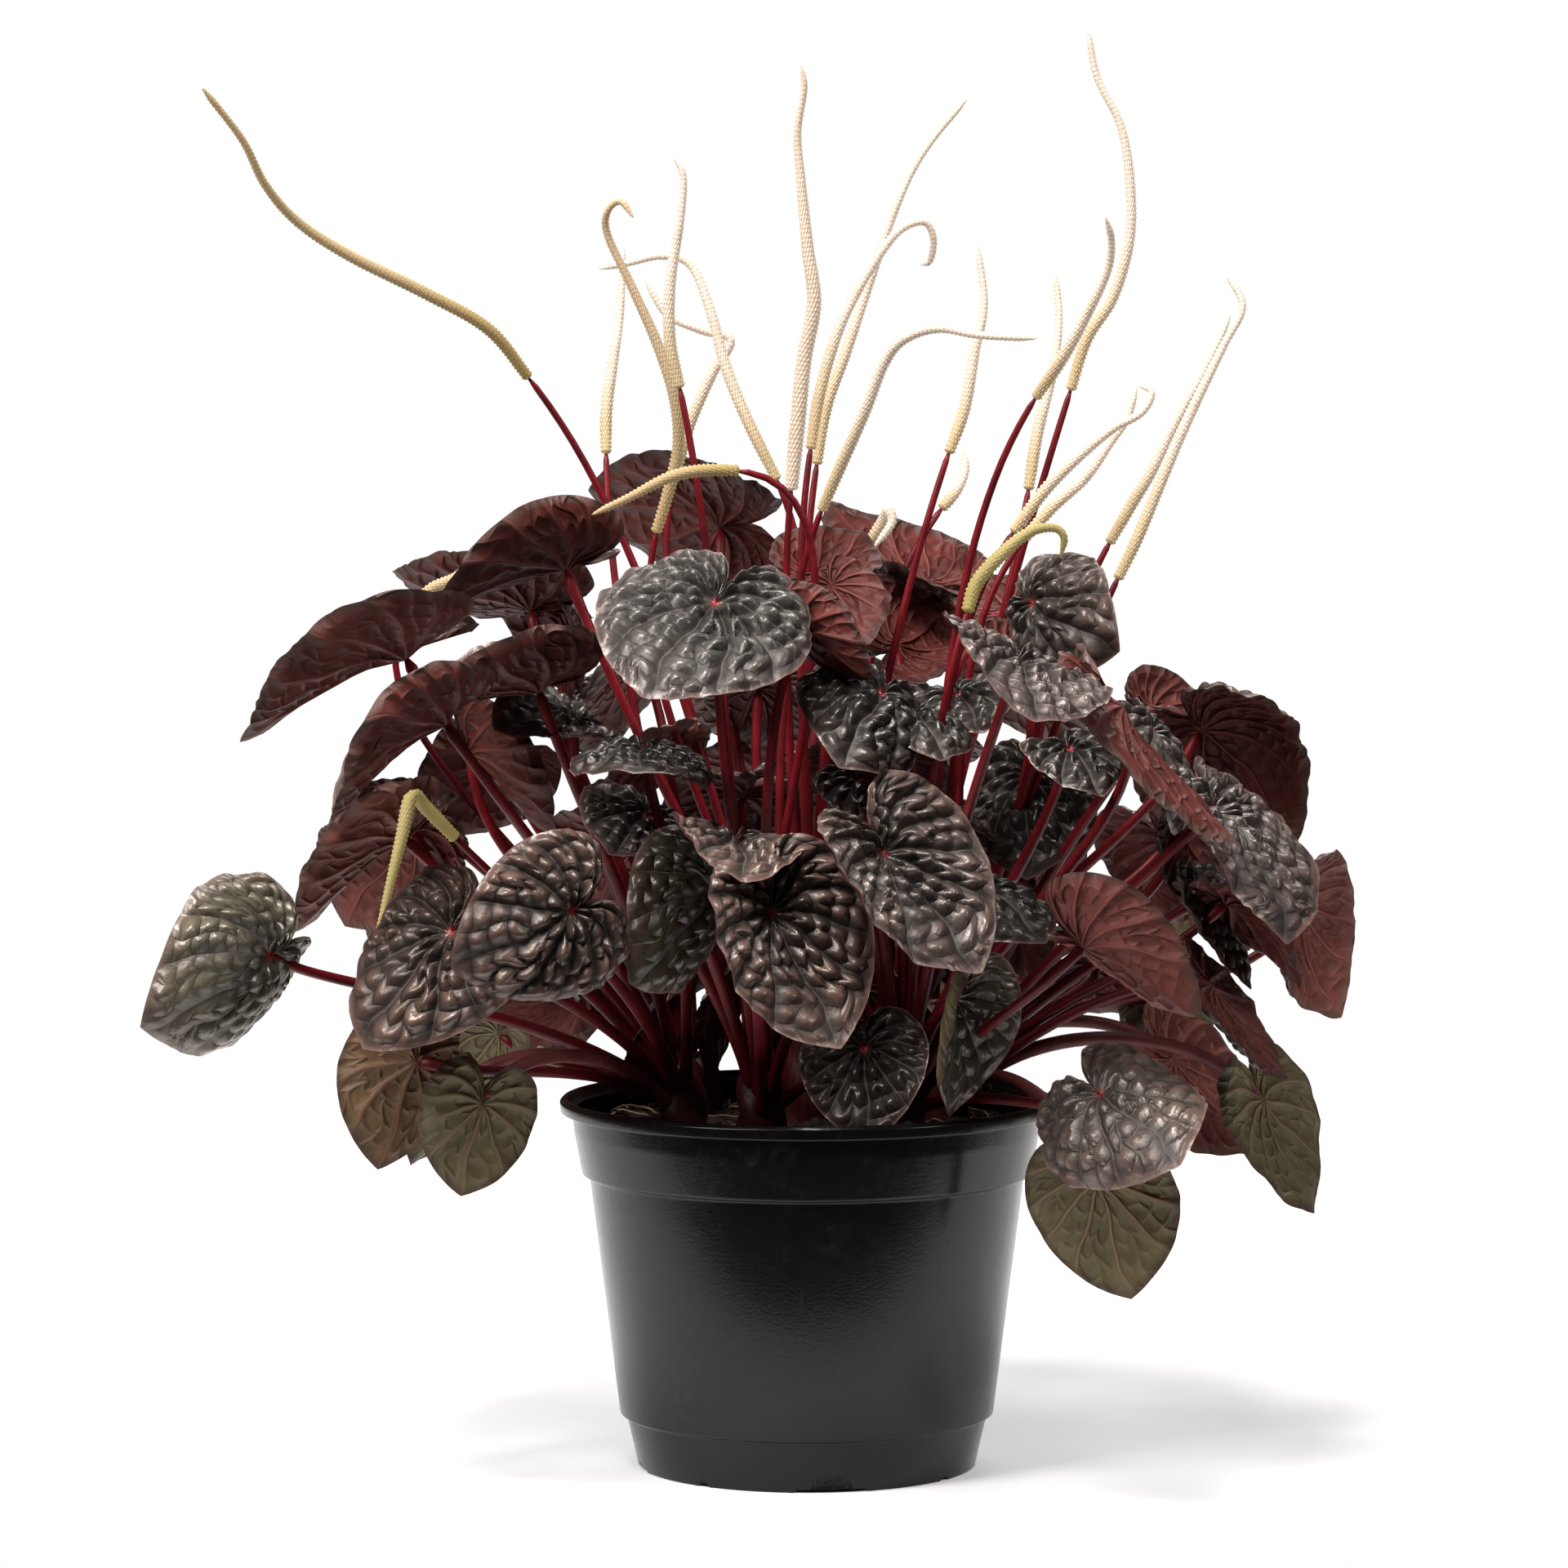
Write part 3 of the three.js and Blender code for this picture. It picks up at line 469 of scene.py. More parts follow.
CROWNS = {
    "front": {
        "at": (-14, -32),
        "height": 30,
        "leaves": [
            ((-10, -132, 183), 55, 158, 5, -35, 25, -10, "brown", "burgundy"),
            ((17, -52, 135), 38, 180, 35, 10, -5, 20, "dark", "olive"),
            ((-27, -96, 271), 62, 220, 50, 25, -25, 5, "silver", "burgundy"),
            # This leaf takes the black tint: its darkness is painted shade.
            ((-48, -88, 227), 44, 225, 85, 40, -40, 15, "black", "burgundy"),
            ((-48, -68, 206), 38, 235, 70, 25, -15, 20, "dark", "burgundy"),
            ((-21, -112, 201), 42, 135, 80, -55, 25, 15, "brown", "burgundy"),
            ((-3, -80, 261), 34, 120, 15, -130, 40, 5, "dark", "burgundy"),
            ((22, -126, 200), 56, 145, 5, -45, 25, -10, "grey", "burgundy"),
        ],
        "spikes": [
            ("cream", (-38, -50, 332), (-41, -50, 346), (-41, -50, 363), (-38, -50, 382),
             (-37, -50, 395), (-40, -50, 401)),
            ("olive", (-20, -60, 308), (-31, -62, 308), (-41, -65, 306), (-53, -67, 300),
             (-64, -70, 295)),
            ("cream", (4, -30, 295), (10, -34, 309), (17, -39, 325), (23, -43, 340),
             (29, -47, 347), (39, -51, 350), (51, -56, 348), (68, -60, 347)),
        ],
    },
    "front_right": {
        "at": (28, -24),
        "height": 26,
        "leaves": [
            ((45, -60, 150), 44, 190, -5, -55, 60, -10, "green", "olive"),
            ((85, -96, 127), 54, 125, 55, -20, -60, 15, "copper", "rose"),
            ((82, -78, 169), 50, 120, 10, -125, 50, 5, "brown", "rose"),
            ((90, -92, 238), 66, 145, 5, 98, 15, 20, "grey", "burgundy"),
            ((61, -112, 254), 53, 155, 75, -50, 10, 15, "pink", "burgundy"),
            ((32, -60, 236), 36, 125, 70, -60, -40, 35, "dark", "burgundy"),
            ((78, -56, 225), 31, 130, 60, -45, 5, 30, "dark", "burgundy"),
            ((52, -84, 185), 36, 110, 50, -60, -45, 40, "dark", "mauve"),
            ((22, -72, 243), 49, 210, 70, -5, -60, 40, "dark", "burgundy"),
            ((45, -36, 240), 32, 130, 70, -35, -5, 30, "dark", "burgundy"),
            ((15, -60, 216), 26, 150, 60, -35, -20, 25, "dark", "burgundy"),
        ],
        "spikes": [
            ("cream", (68, -40, 329), (76, -44, 341), (83, -48, 354), (89, -52, 367),
             (90, -56, 376), (88, -60, 383)),
            ("cream", (61, -50, 289), (71, -48, 302), (81, -47, 312), (91, -45, 320),
             (100, -43, 325), (103, -42, 331), (99, -40, 333)),
            ("green", (47, -70, 266), (50, -68, 275), (58, -67, 284), (66, -65, 290),
             (73, -63, 291), (76, -62, 288), (75, -60, 282)),
        ],
    },
    "right": {
        "at": (42, 8),
        "height": 28,
        "leaves": [
            ((139, -5, 113), 48, 160, 0, 125, -15, 20, "green", "olive"),
            ((121, -34, 151), 46, 145, 0, 105, -10, 20, "dark", "mauve"),
            ((128, -24, 177), 44, 120, -5, -105, -15, 50, "dark", "mauve"),
            ((120, -12, 176), 40, 155, 10, -70, 15, -5, "dark", "olive"),
            ((123, -42, 207), 64, 140, 35, -70, 5, 25, "pink", "mauve"),
            ((67, -40, 268), 45, 130, 60, 20, -60, 60, "grey", "burgundy"),
            ((104, -38, 230), 43, 140, 15, -75, -25, 60, "grey", "burgundy"),
            ((114, -8, 200), 30, 190, -10, 130, -35, 40, "dark", "burgundy"),
            ((68, -6, 214), 46, 185, 45, 10, -60, 25, "dark", "burgundy"),
            ((63, -2, 250), 28, 85, -55, 130, -35, 25, "dark", "burgundy"),
            ((87, -62, 96), 46, 162, -5, 200, -10, 15, "green", "olive"),
        ],
        "spikes": [
            ("cream", (94, -20, 274), (100, -17, 286), (106, -14, 300), (112, -11, 314),
             (119, -9, 329), (127, -6, 345), (133, -3, 357), (128, 0, 367)),
            ("cream", (66, -10, 286), (75, -8, 296), (85, -6, 305), (93, -4, 316), (98, -2, 323),
             (101, 0, 333)),
            ("cream", (93, 10, 284), (100, 12, 296), (106, 13, 306), (114, 15, 322),
             (122, 17, 336), (127, 18, 346), (131, 20, 355)),
        ],
    },
    "back_right": {
        "at": (26, 32),
        "height": 26,
        "leaves": [
            ((114, 30, 121), 50, 137, 0, 135, 10, 20, "brown", "mauve"),
            ((113, 50, 138), 38, 175, 40, 180, 60, 5, "green", "olive"),
            ((153, 22, 171), 48, 180, -20, 125, -30, 60, "brown", "mauve"),
            ((123, 24, 227), 62, 130, -30, -155, -55, 60, "grey", "burgundy"),
            ((109, 60, 230), 28, 90, -45, 150, -45, 30, "dark", "burgundy"),
            ((103, 84, 169), 38, 135, -30, 145, -25, 25, "green", "olive"),
            ((92, 50, 149), 32, 135, -45, -150, -45, 25, "dark", "burgundy"),
            ((63, 44, 262), 32, 315, -70, -150, -40, 25, "dark", "burgundy"),
        ],
        "spikes": [
            ("cream", (81, 10, 331), (86, 10, 347), (94, 10, 360), (99, 10, 378), (99, 10, 397),
             (96, 10, 413), (89, 10, 427), (86, 10, 442)),
            ("cream", (69, 30, 300), (72, 35, 318), (77, 40, 338), (79, 45, 354), (78, 50, 368)),
        ],
    },
    "middle": {
        "at": (0, 2),
        "height": 46,
        "leaves": [
            ((-74, -19, 279), 54, 255, 10, 110, 60, 15, "grey", "wine"),
            ((3, 16, 274), 34, 60, -50, 140, -45, 25, "dark", "burgundy"),
            ((8, -10, 271), 32, 145, 40, -175, 60, 10, "dark", "burgundy"),
        ],
        "spikes": [
            ("white", (-5, -20, 301), (-3, -21, 321), (-1, -22, 341), (2, -24, 358),
             (0, -25, 375), (-2, -26, 395), (-3, -27, 409), (-1, -29, 422), (-2, -30, 429)),
            ("cream", (1, 0, 313), (4, 3, 331), (10, 5, 351), (19, 8, 368), (28, 10, 380),
             (36, 13, 383), (39, 15, 378), (38, 18, 371), (35, 20, 370)),
            ("cream", (43, -10, 312), (48, -7, 326), (51, -5, 343), (54, -2, 358), (52, 0, 376)),
            ("straw", (-46, -20, 288), (-42, -22, 301), (-39, -24, 315), (-40, -27, 329),
             (-45, -29, 345), (-53, -31, 363), (-60, -33, 378), (-60, -36, 385), (-56, -38, 388),
             (-52, -40, 383)),
            ("olive", (-85, 0, 335), (-97, -9, 350), (-116, -17, 361), (-138, -26, 372),
             (-153, -34, 382), (-162, -43, 393), (-168, -51, 406), (-179, -60, 421)),
            ("cream", (3, 20, 308), (6, 23, 326), (12, 26, 343), (19, 29, 364), (26, 31, 384),
             (32, 34, 398), (39, 37, 409), (50, 40, 422)),
        ],
    },
    "back": {
        "at": (-6, 40),
        "height": 30,
        "leaves": [
            ((-27, 80, 289), 58, 280, -15, 135, -15, -10, "dark", "burgundy"),
            ((38, 76, 269), 54, 285, -25, -105, -45, 55, "dark", "burgundy"),
            ((28, 50, 250), 46, 65, -50, 155, -60, 15, "dark", "burgundy"),
            ((-15, 44, 238), 32, 210, -55, 170, -45, 25, "dark", "burgundy"),
        ],
        "spikes": [
            ("cream", (-9, 30, 303), (-18, 31, 321), (-25, 33, 338), (-30, 34, 356),
             (-36, 36, 370), (-45, 37, 373), (-55, 39, 371), (-65, 40, 369)),
            ("cream", (-42, 60, 302), (-37, 60, 320), (-30, 60, 336), (-24, 60, 347),
             (-33, 60, 350), (-44, 60, 355), (-51, 60, 366)),
            ("cream", (19, 70, 281), (24, 68, 289), (26, 65, 293), (27, 63, 289), (21, 60, 281)),
            ("cream", (43, 80, 293), (48, 83, 299), (51, 87, 306), (50, 90, 313)),
        ],
    },
    "back_left": {
        "at": (-34, 28),
        "height": 24,
        "leaves": [
            ((-86, 28, 265), 56, 275, 0, 115, 25, -10, "grey", "burgundy"),
            ((-122, 14, 196), 54, 215, -40, -180, -60, 35, "brown", "mauve"),
            ((-73, 50, 139), 42, 230, -15, -120, -25, 45, "brown", "rose"),
            ((-95, 20, 216), 42, 235, -10, 150, -10, 20, "brown", "mauve"),
            ((-95, 10, 133), 30, 220, -40, -175, -60, 25, "green", "olive"),
            ((-74, 40, 254), 38, 320, -30, 125, -35, 60, "dark", "burgundy"),
        ],
        "spikes": [
            ("cream", (-63, 50, 311), (-63, 55, 325), (-61, 60, 341), (-59, 65, 356),
             (-58, 70, 377)),
        ],
    },
    "left": {
        "at": (-38, -12),
        "height": 28,
        "leaves": [
            ((-68, -118, 182), 49, 240, 30, -15, -20, 45, "brown", "burgundy"),
            ((-122, -35, 253), 70, 248, 5, 97, 50, 15, "grey", "burgundy"),
            ((-80, -74, 245), 60, 255, 15, 93, 60, -10, "grey", "burgundy"),
            ((-107, -92, 236), 56, 235, 5, 93, 60, 15, "grey", "burgundy"),
            ((-70, -48, 233), 38, 285, 45, 75, 15, 30, "dark", "burgundy"),
            ((-101, -30, 223), 46, 140, 10, -110, 50, -10, "dark", "burgundy"),
            ((-27, -84, 185), 52, 215, 40, -40, -60, 25, "green", "burgundy"),
            ((-105, -92, 174), 54, 225, 15, 35, -30, 35, "brown", "burgundy"),
            ((-159, -66, 164), 60, 225, 45, -40, -60, 50, "glossy", "burgundy"),
            ((-123, -25, 197), 56, 233, 0, 100, 50, 15, "brown", "mauve"),
            ((-118, -52, 131), 43, 200, 0, 150, 40, 10, "green", "rust"),
            ((-106, -26, 119), 34, 215, 0, 125, 10, 10, "green", "olive"),
            ((-97, -66, 120), 36, 194, -5, 165, 10, 10, "green", "olive"),
        ],
        "spikes": [
            ("green", (-106, -32, 196), (-115, -37, 206), (-119, -42, 210), (-122, -46, 197),
             (-126, -51, 180), (-129, -56, 166)),
            ("straw", (-123, 9, 262), (-116, 6, 270), (-108, 3, 274), (-103, 0, 279),
             (-99, -4, 285)),
        ],
    },
}
TIERS = [
    {"z": 240, "reach": 98, "length": 58, "dip": 30, "first": 138, "last": 236, "count": 5},
    {"z": 192, "reach": 122, "length": 56, "dip": 45, "first": 118, "last": 246, "count": 5},
    {"z": 146, "reach": 104, "length": 46, "dip": 60, "first": 140, "last": 224, "count": 3},
]
HEART = [
    {"z": 212, "reach": 38, "length": 44, "dip": 30, "first": 95, "last": 265, "count": 5},
    {"z": 172, "reach": 56, "length": 44, "dip": 50, "first": 110, "last": 250, "count": 5},
    {"z": 138, "reach": 40, "length": 34, "dip": 60, "first": 100, "last": 270, "count": 5},
]
BACK_CROWNS = [("back_right", 164), ("back", 203), ("back_left", 360)]
BACK_LOOKS = [("brown", "burgundy"), ("grey", "wine"), ("dark", "mauve"), ("pink", "burgundy")]
BACK_CUP = -12
BACK_DROOP = 30
BACK_SWAY = {"bearing": 5, "reach": 7, "dip": 8, "roll": 25, "height": 9}
OUTLINE = [
    (0, 0.80), (6, 0.765), (14, 0.72), (28, 0.655), (45, 0.595), (62, 0.55), (82, 0.52),
    (102, 0.495), (125, 0.47), (140, 0.445), (150, 0.41), (160, 0.345), (170, 0.23), (180, 0.10),
]
FINE_GRID = (160, 34, 10)
PLAIN_GRID = (120, 26, 8)
LARGE_LEAF = 44
FAR_SIDE = 40
FLAT_SIZE = 100
BLADE_THICK = 0.8
EDGE_WAVE = 0.03
EDGE_RIPPLE = 0.011
CENTRE_HOLLOW = 0.03
HOLLOW_REACH = 0.14
SIDE_REACH = 0.465
TIP_REACH = 0.8
VEIN_ANGLE = radians(36)
VEIN_BOW = 0.22
RIDGE = 4
RIDGE_LENGTH = 60
CUSHION = 6.4
ROWS_PART = ((13, 16), (37, 41))
KNOB_DEPTH = 0.8
UNDER_RELIEF = 0.35
RIM_CALM = 0.55
NOTCH_FADE = (2.9, 3.13)
SMOOTH_LEAVES = ("green", "glossy")
SMOOTHED = 0.55
LOW_LEAF = POT_HEIGHT + 10
ROOT_OFFSET = 4
LOWEST_ROOT = 6
STEM_DEPTH = 12
STEM_CROWN = 4
STEM_RADIUS = (8, 5.6)
LEAF_RISE = 0.4
LEAF_ARRIVAL = 0.8
LEAF_HANDLES = (0.38, 0.3)
OVER_LIP_RISE = 0.8
OVER_LIP_FALL = 1.6
FLOWER_RISE = 0.35
FLOWER_HANDLES = (0.35, 0.3)
STALK_BOW = 24
STALK_SIDES = 12
LEAF_STALK = (2.0, 1.35)
LOW_STALK = (2.4, 1.8)
BLADE_SWELLING = 0.35
FLOWER_STALK = (1.7, 0.95)
UP_THE_SPIKE = 3.5
STALK_FINISH = 2


def smooth(value, low, high):
    """0 below low, 1 above high, and an even curve between, for a number or a wire."""
    if isinstance(value, Wire):
        return value.ramp(low, high)
    share = min(max((value - low) / (high - low), 0), 1)
    return share * share * (3 - 2 * share)


def sine(value):
    return value.sine() if isinstance(value, Wire) else sin(value)


def mixed(first, second, share):
    return first + (second - first) * share


def reach_at(angle):
    """The blade's reach from its stalk at an angle off its midrib, for a length of 1."""
    angle = min(abs(degrees(angle)), 180)
    for (low, near), (high, far) in zip(OUTLINE, OUTLINE[1:]):
        if angle <= high:
            return mixed(near, far, (angle - low) / (high - low))
    return OUTLINE[-1][1]


def blade_frame(clock, lean, turn):
    """The ways along a blade's midrib, out of its upper face, and to its right."""
    clock, lean = radians(clock), radians(lean)
    along = Vector((cos(lean) * sin(clock), -sin(lean), cos(lean) * cos(clock)))
    up = Vector((0, -1, 0))
    up = (up - along * up.dot(along)).normalized()
    up.rotate(Matrix.Rotation(radians(turn), 3, along))
    return along, up, along.cross(up)


def attitude(along, up):
    """The clock, lean and turn of a blade whose midrib and upper face point the given ways."""
    clock = degrees(atan2(along.x, along.z))
    lean = degrees(atan2(-along.y, hypot(along.x, along.z)))
    _, level_up, level_right = blade_frame(clock, lean, 0)
    return clock, lean, degrees(atan2(up.dot(level_right), up.dot(level_up)))


def bent(x, y, z, length, cup, droop):
    """A point of a flat blade after its sides are bent by cup and its length by droop."""
    across = radians(cup or 0.01) / (SIDE_REACH * length)
    down = radians(droop or 0.01) / (TIP_REACH * length)
    side = (1 / across - z) * sin(across * x)
    rise = 1 / across - (1 / across - z) * cos(across * x)
    return side, (1 / down + rise) * sin(down * y), (1 / down + rise) * cos(down * y) - 1 / down


def vein_count(share, angle, radius, phase):
    """How many veins off the midrib a point lies, for numbers or wires: whole on a vein."""
    sway = sine(radius * 0.17 + angle * 2 + phase * 20) * 0.1
    sway += sine(radius * 0.5 + angle * 5) * 0.02
    return angle / ((1 - share * VEIN_BOW) * VEIN_ANGLE) + sway * smooth(radius, 1, 9)


def cushions(share, angle, radius, phase):
    """The relief of a blade, for numbers or wires: 0 along its veins and 1 on the tops between.

    Cushions stand in rows along the veins, and the rows part in two where they have grown wide.
    """
    veins = vein_count(share, angle, radius, phase)
    main = sine(veins % 1 * pi)
    drift = sine(radius * 0.33 + angle * 4 + phase * 11) * main * 0.12
    levels = []
    for rows in (1, 2, 4):
        place = (veins + drift) * rows
        row = place - place % 1
        own = sine(row * 7.3 + phase * 30 + rows)
        step = radius / (own * 0.9 + CUSHION) + own * 2.5
        step += abs(place % 1 - 0.5) * (own * 0.5 + 0.5)
        swelling = sine((step - step % 1) * 12.3 + row * 5.1) * 0.25 + 0.75
        levels.append((sine(place % 1 * pi) * abs(sine(step * pi))) ** 0.65 * swelling)
    near = mixed(levels[0], levels[1], smooth(radius, *ROWS_PART[0]))
    far = mixed(near, levels[2], smooth(radius, *ROWS_PART[1]))
    return main ** 0.45 * (far * KNOB_DEPTH + (1 - KNOB_DEPTH))


def leaf_body(leaf):
    """A leaf's blade, closed: from its upper middle out to its rim and back in below."""
    at, length, clock, lean, turn, cup, droop, upper, under = leaf
    along, up, right = blade_frame(clock, lean, turn)
    fine = length > LARGE_LEAF and at[1] < FAR_SIDE
    spokes, rings, under_rings = FINE_GRID if fine else PLAIN_GRID
    phase = leaf_draw.random()
    smoothness = SMOOTHED if upper in SMOOTH_LEAVES else 0
    shape = bmesh.new()
    bmesh.ops.create_grid(shape, x_segments=spokes, y_segments=rings + under_rings, size=0.5)
    tint = shape.verts.layers.float_color.new("tint")
    start = shape.verts.layers.float.new("phase")
    even = shape.verts.layers.float.new("smoothness")
    flat = shape.loops.layers.uv.new("flat")
    flats = {}
    for vert in shape.verts:
        angle = 2 * pi * vert.co.x
        ring = round((vert.co.y + 0.5) * (rings + under_rings))
        below = ring > rings
        share = (rings + under_rings - ring) / under_rings if below else ring / rings
        radius = share * reach_at(angle) * length
        wave = EDGE_WAVE * share ** 3 * sin(3 * angle + at[0])
        wave += EDGE_RIPPLE * share ** 6 * sin(11 * angle + at[2])
        x, y = radius * sin(angle), radius * cos(angle)
        relief = cushions(share, angle, radius, phase)
        relief *= RIDGE * (length / RIDGE_LENGTH) ** 0.7 * smooth(share, 0, 0.25)
        relief *= (1 - RIM_CALM * smooth(share, 0.8, 1)) * (1 - smooth(abs(angle), *NOTCH_FADE))
        relief *= (1 - smoothness) * (UNDER_RELIEF if below else 1)
        hollow = CENTRE_HOLLOW * exp(-((share / HOLLOW_REACH) ** 2))
        height = relief + (wave - hollow) * length + BLADE_THICK * (-1 if below else 0.5)
        side, out, rise = bent(x, y, height, length, cup, droop)
        vert.co = (Vector(at) + right * side + along * out + up * rise) * MM
        vert[tint] = (*TINTS[under if below else upper], share)
        vert[start] = phase
        vert[even] = smoothness
        flats[vert] = (x / FLAT_SIZE + 0.5, y / FLAT_SIZE + 0.5, below)
    for face in shape.faces:
        for loop in face.loops:
            loop[flat].uv = flats[loop.vert][:2]
        face.material_index = int(any(flats[vert][2] for vert in face.verts))
    bmesh.ops.remove_doubles(shape, verts=shape.verts, dist=WELD)
    bmesh.ops.recalc_face_normals(shape, faces=shape.faces)
    return shape


def back_leaf(tier, i):
    """A leaf placed by rule: its tip points out and down, each rolled a little differently."""
    sway = sin(2.4 * i + tier["z"])
    bearing = mixed(tier["first"], tier["last"], i / (tier["count"] - 1))
    bearing += BACK_SWAY["bearing"] * sway
    reach = tier["reach"] + BACK_SWAY["reach"] * cos(3.1 * i)
    outward = Vector((sin(radians(bearing)), -cos(radians(bearing)), 0))
    dip = radians(tier["dip"] + BACK_SWAY["dip"] * sway)
    along = outward * cos(dip) - Vector((0, 0, sin(dip)))
    up = outward * sin(dip) + Vector((0, 0, cos(dip)))
    roll = radians(BACK_SWAY["roll"] * cos(5 * i + tier["z"]))
    up.rotate(Matrix.Rotation(roll, 3, along))
    at = (outward.x * reach, outward.y * reach, tier["z"] + BACK_SWAY["height"] * sway)
    crown = next(name for name, up_to in BACK_CROWNS if bearing < up_to)
    looks = BACK_LOOKS[i % len(BACK_LOOKS)]
    return crown, (at, tier["length"], *attitude(along, up), BACK_CUP, BACK_DROOP, *looks)


def bow(start, first, last, end, steps):
    """Points along a bow between two ends, drawn by its two handles."""
    return geometry.interpolate_bezier(start, first, last, end, steps)


def leaf_stalk(root, leaf):
    """The path of a leaf stalk: up from its crown and in under its blade, over the lip if low."""
    at, clock, lean, turn = Vector(leaf[0]), *leaf[2:5]
    _, up, _ = blade_frame(clock, lean, turn)
    end = at - up * BLADE_THICK / 2
    reach = (end - root).length
    way = (end - root).normalized()
    over_lip = at.z < LOW_LEAF
    rise = LEAF_RISE + (OVER_LIP_RISE if over_lip else 0)
    arrival = Vector((0, 0, -OVER_LIP_FALL)) if over_lip else up * LEAF_ARRIVAL
    first = Vector((way.x, way.y, max(way.z, 0) + rise)).normalized() * reach * LEAF_HANDLES[0]
    last = (way + arrival).normalized() * reach * LEAF_HANDLES[1]
    return bow(root, root + first, end - last, end, STALK_BOW)


def flower_stalk(root, points):
    """The path of a flower stalk: up from its crown and in line with its spike's points."""
    start, heading = Vector(points[0]), (Vector(points[1]) - Vector(points[0])).normalized()
    end = start + heading * UP_THE_SPIKE
    reach = (end - root).length
    rising = ((end - root).normalized() + Vector((0, 0, FLOWER_RISE))).normalized()
    first = root + rising * reach * FLOWER_HANDLES[0]
    return bow(root, first, end - heading * reach * FLOWER_HANDLES[1], end, STALK_BOW)


def root_on(crown, target):
    """Where a stalk leaves its crown: the flatter it runs, the nearer the soil."""
    x, y = crown["at"]

    def slope(point):
        return (point[2] - SOIL_TOP) / hypot(point[0] - x, point[1] - y)

    rank = sum(slope(other) < slope(target) for other in crown["targets"])
    away = Vector((target[0] - x, target[1] - y)).normalized() * ROOT_OFFSET
    share = min(1, rank / (len(crown["targets"]) - 1))
    rise = mixed(LOWEST_ROOT, crown["height"] - STEM_CROWN, share)
    return Vector((x + away.x, y + away.y, SOIL_TOP + rise))


def tinted(shape, colour):
    """Gives a stem or stalk of a crown its colour and its finish."""
    tint = shape.verts.layers.float_color.new("tint")
    for vert in shape.verts:
        vert[tint] = (*colour, 1)
    for face in shape.faces:
        face.material_index = STALK_FINISH
    return shape


def stalk_radius(root, end, swelling):
    """A stalk's radius along it: closed ends, a taper, and a swelling where the blade joins."""

    def radius(v, turn):
        ends = min(1, (v * 30) ** 0.5, ((1 - v) * 30) ** 0.5)
        joint = 1 + swelling * smooth(v, 0.88, 0.99) + 0.15 * (1 - smooth(v, 0, 0.1))
        return ends * joint * mixed(root, end, v) * (1 + 0.05 * cos(2 * turn))

    return radius


def stem(crown):
    """A crown's stem: short and knobbly with the scars of old leaves, rounded at its top."""
    foot = Vector((*crown["at"], SOIL_TOP - STEM_DEPTH))
    head = Vector((*crown["at"], SOIL_TOP + crown["height"] - STEM_CROWN))
    knobs = crown["at"][0]

    def radius(v, turn):
        ends = min(1, (v * 12) ** 0.5, ((1 - v) * 5) ** 0.5)
        scars = 0.9 * abs(sin(9 * v + turn + knobs)) + 0.5 * cos(3 * turn + 14 * v)
        return ends * (mixed(*STEM_RADIUS, v) + scars)

    return rod([foot, head], radius, 28, 30)


leaf_draw = random.Random(11)
for tier in TIERS:
    for i in range(tier["count"]):
        name, leaf = back_leaf(tier, i)
        CROWNS[name]["leaves"].append(leaf)
for crown in CROWNS.values():
    crown["targets"] = [row[0] for row in crown["leaves"]] + [row[1] for row in crown["spikes"]]
for tier in HEART:
    for i in range(tier["count"]):
        name, leaf = back_leaf(tier, i)
        CROWNS[name]["leaves"].append(leaf)


def blade_pattern(finish):
    """On a blade: the share of the way to its rim, mm off its stalk, its relief, mm off a vein."""
    flat = finish.node("ShaderNodeUVMap", {"uv_map": "flat"}, {})
    x, y = ((finish.node("ShaderNodeSeparateXYZ", {}, {"Vector": flat}, i) - 0.5) * FLAT_SIZE
            for i in (0, 1))
    share = finish.node("ShaderNodeAttribute", {"attribute_name": "tint"}, {}, "Alpha")
    phase = finish.node("ShaderNodeAttribute", {"attribute_name": "phase"}, {}, "Fac")
    radius = (x * x + y * y) ** 0.5
    angle = x.math("ARCTAN2", x, y)
    relief = cushions(share, angle, radius, phase)
    veins = vein_count(share, angle, radius, phase)
    off_vein = abs((veins + 0.5) % 1 - 0.5) * (1 - share * VEIN_BOW) * VEIN_ANGLE * radius
    return share, radius, relief, off_vein


def tint_of(finish):
    """The colour that the mesh carries."""
    return finish.node("ShaderNodeAttribute", {"attribute_name": "tint"}, {}, "Color")


leaf_top = Finish("leaf upper face", specular_ior_level=0.8, specular_tint=(1, 0.91, 0.85, 1))
share, radius, relief, off_vein = blade_pattern(leaf_top)
place = leaf_top.place()
cloud = leaf_top.noise(place, 9, 3)
grain = leaf_top.noise(place, 1.2, 3)
dimples = leaf_top.noise(place, 4, 1)
smoothness = leaf_top.node("ShaderNodeAttribute", {"attribute_name": "smoothness"}, {}, "Fac")
quilted = share.ramp(0.03, 0.2) * (1 - share.ramp(0.9, 1))
# Painted shade: the grooves between the cushions are darkened towards black, and made rougher.
groove_shade = (1 - relief.ramp(0.1, 0.7)) * quilted * (1 - smoothness)
colour = leaf_top.mix(cloud.ramp(0.4, 0.7) * 0.4, tint_of(leaf_top), (0.018, 0.015, 0.012, 1))
colour = leaf_top.mix(0.65 - share.ramp(0.15, 0.8) * 0.65, colour, (0.014, 0.016, 0.015, 1))
colour = leaf_top.mix(share.ramp(0.7, 1) * 0.35, colour, (0.15, 0.085, 0.075, 1))
# Painted shade in the grooves between the cushions.
colour = leaf_top.mix(groove_shade * 0.9, colour, (0.004, 0.0025, 0.002, 1))
vein_line = (1 - off_vein.ramp(0.1, 0.4)) * share.ramp(0.02, 0.12) * (1 - share.ramp(0.7, 1))
colour = leaf_top.mix(vein_line * 0.5, colour, (0.17, 0.125, 0.10, 1))
colour = leaf_top.mix(share.ramp(0.97, 0.99) * 0.6, colour, (0.22, 0.14, 0.125, 1))
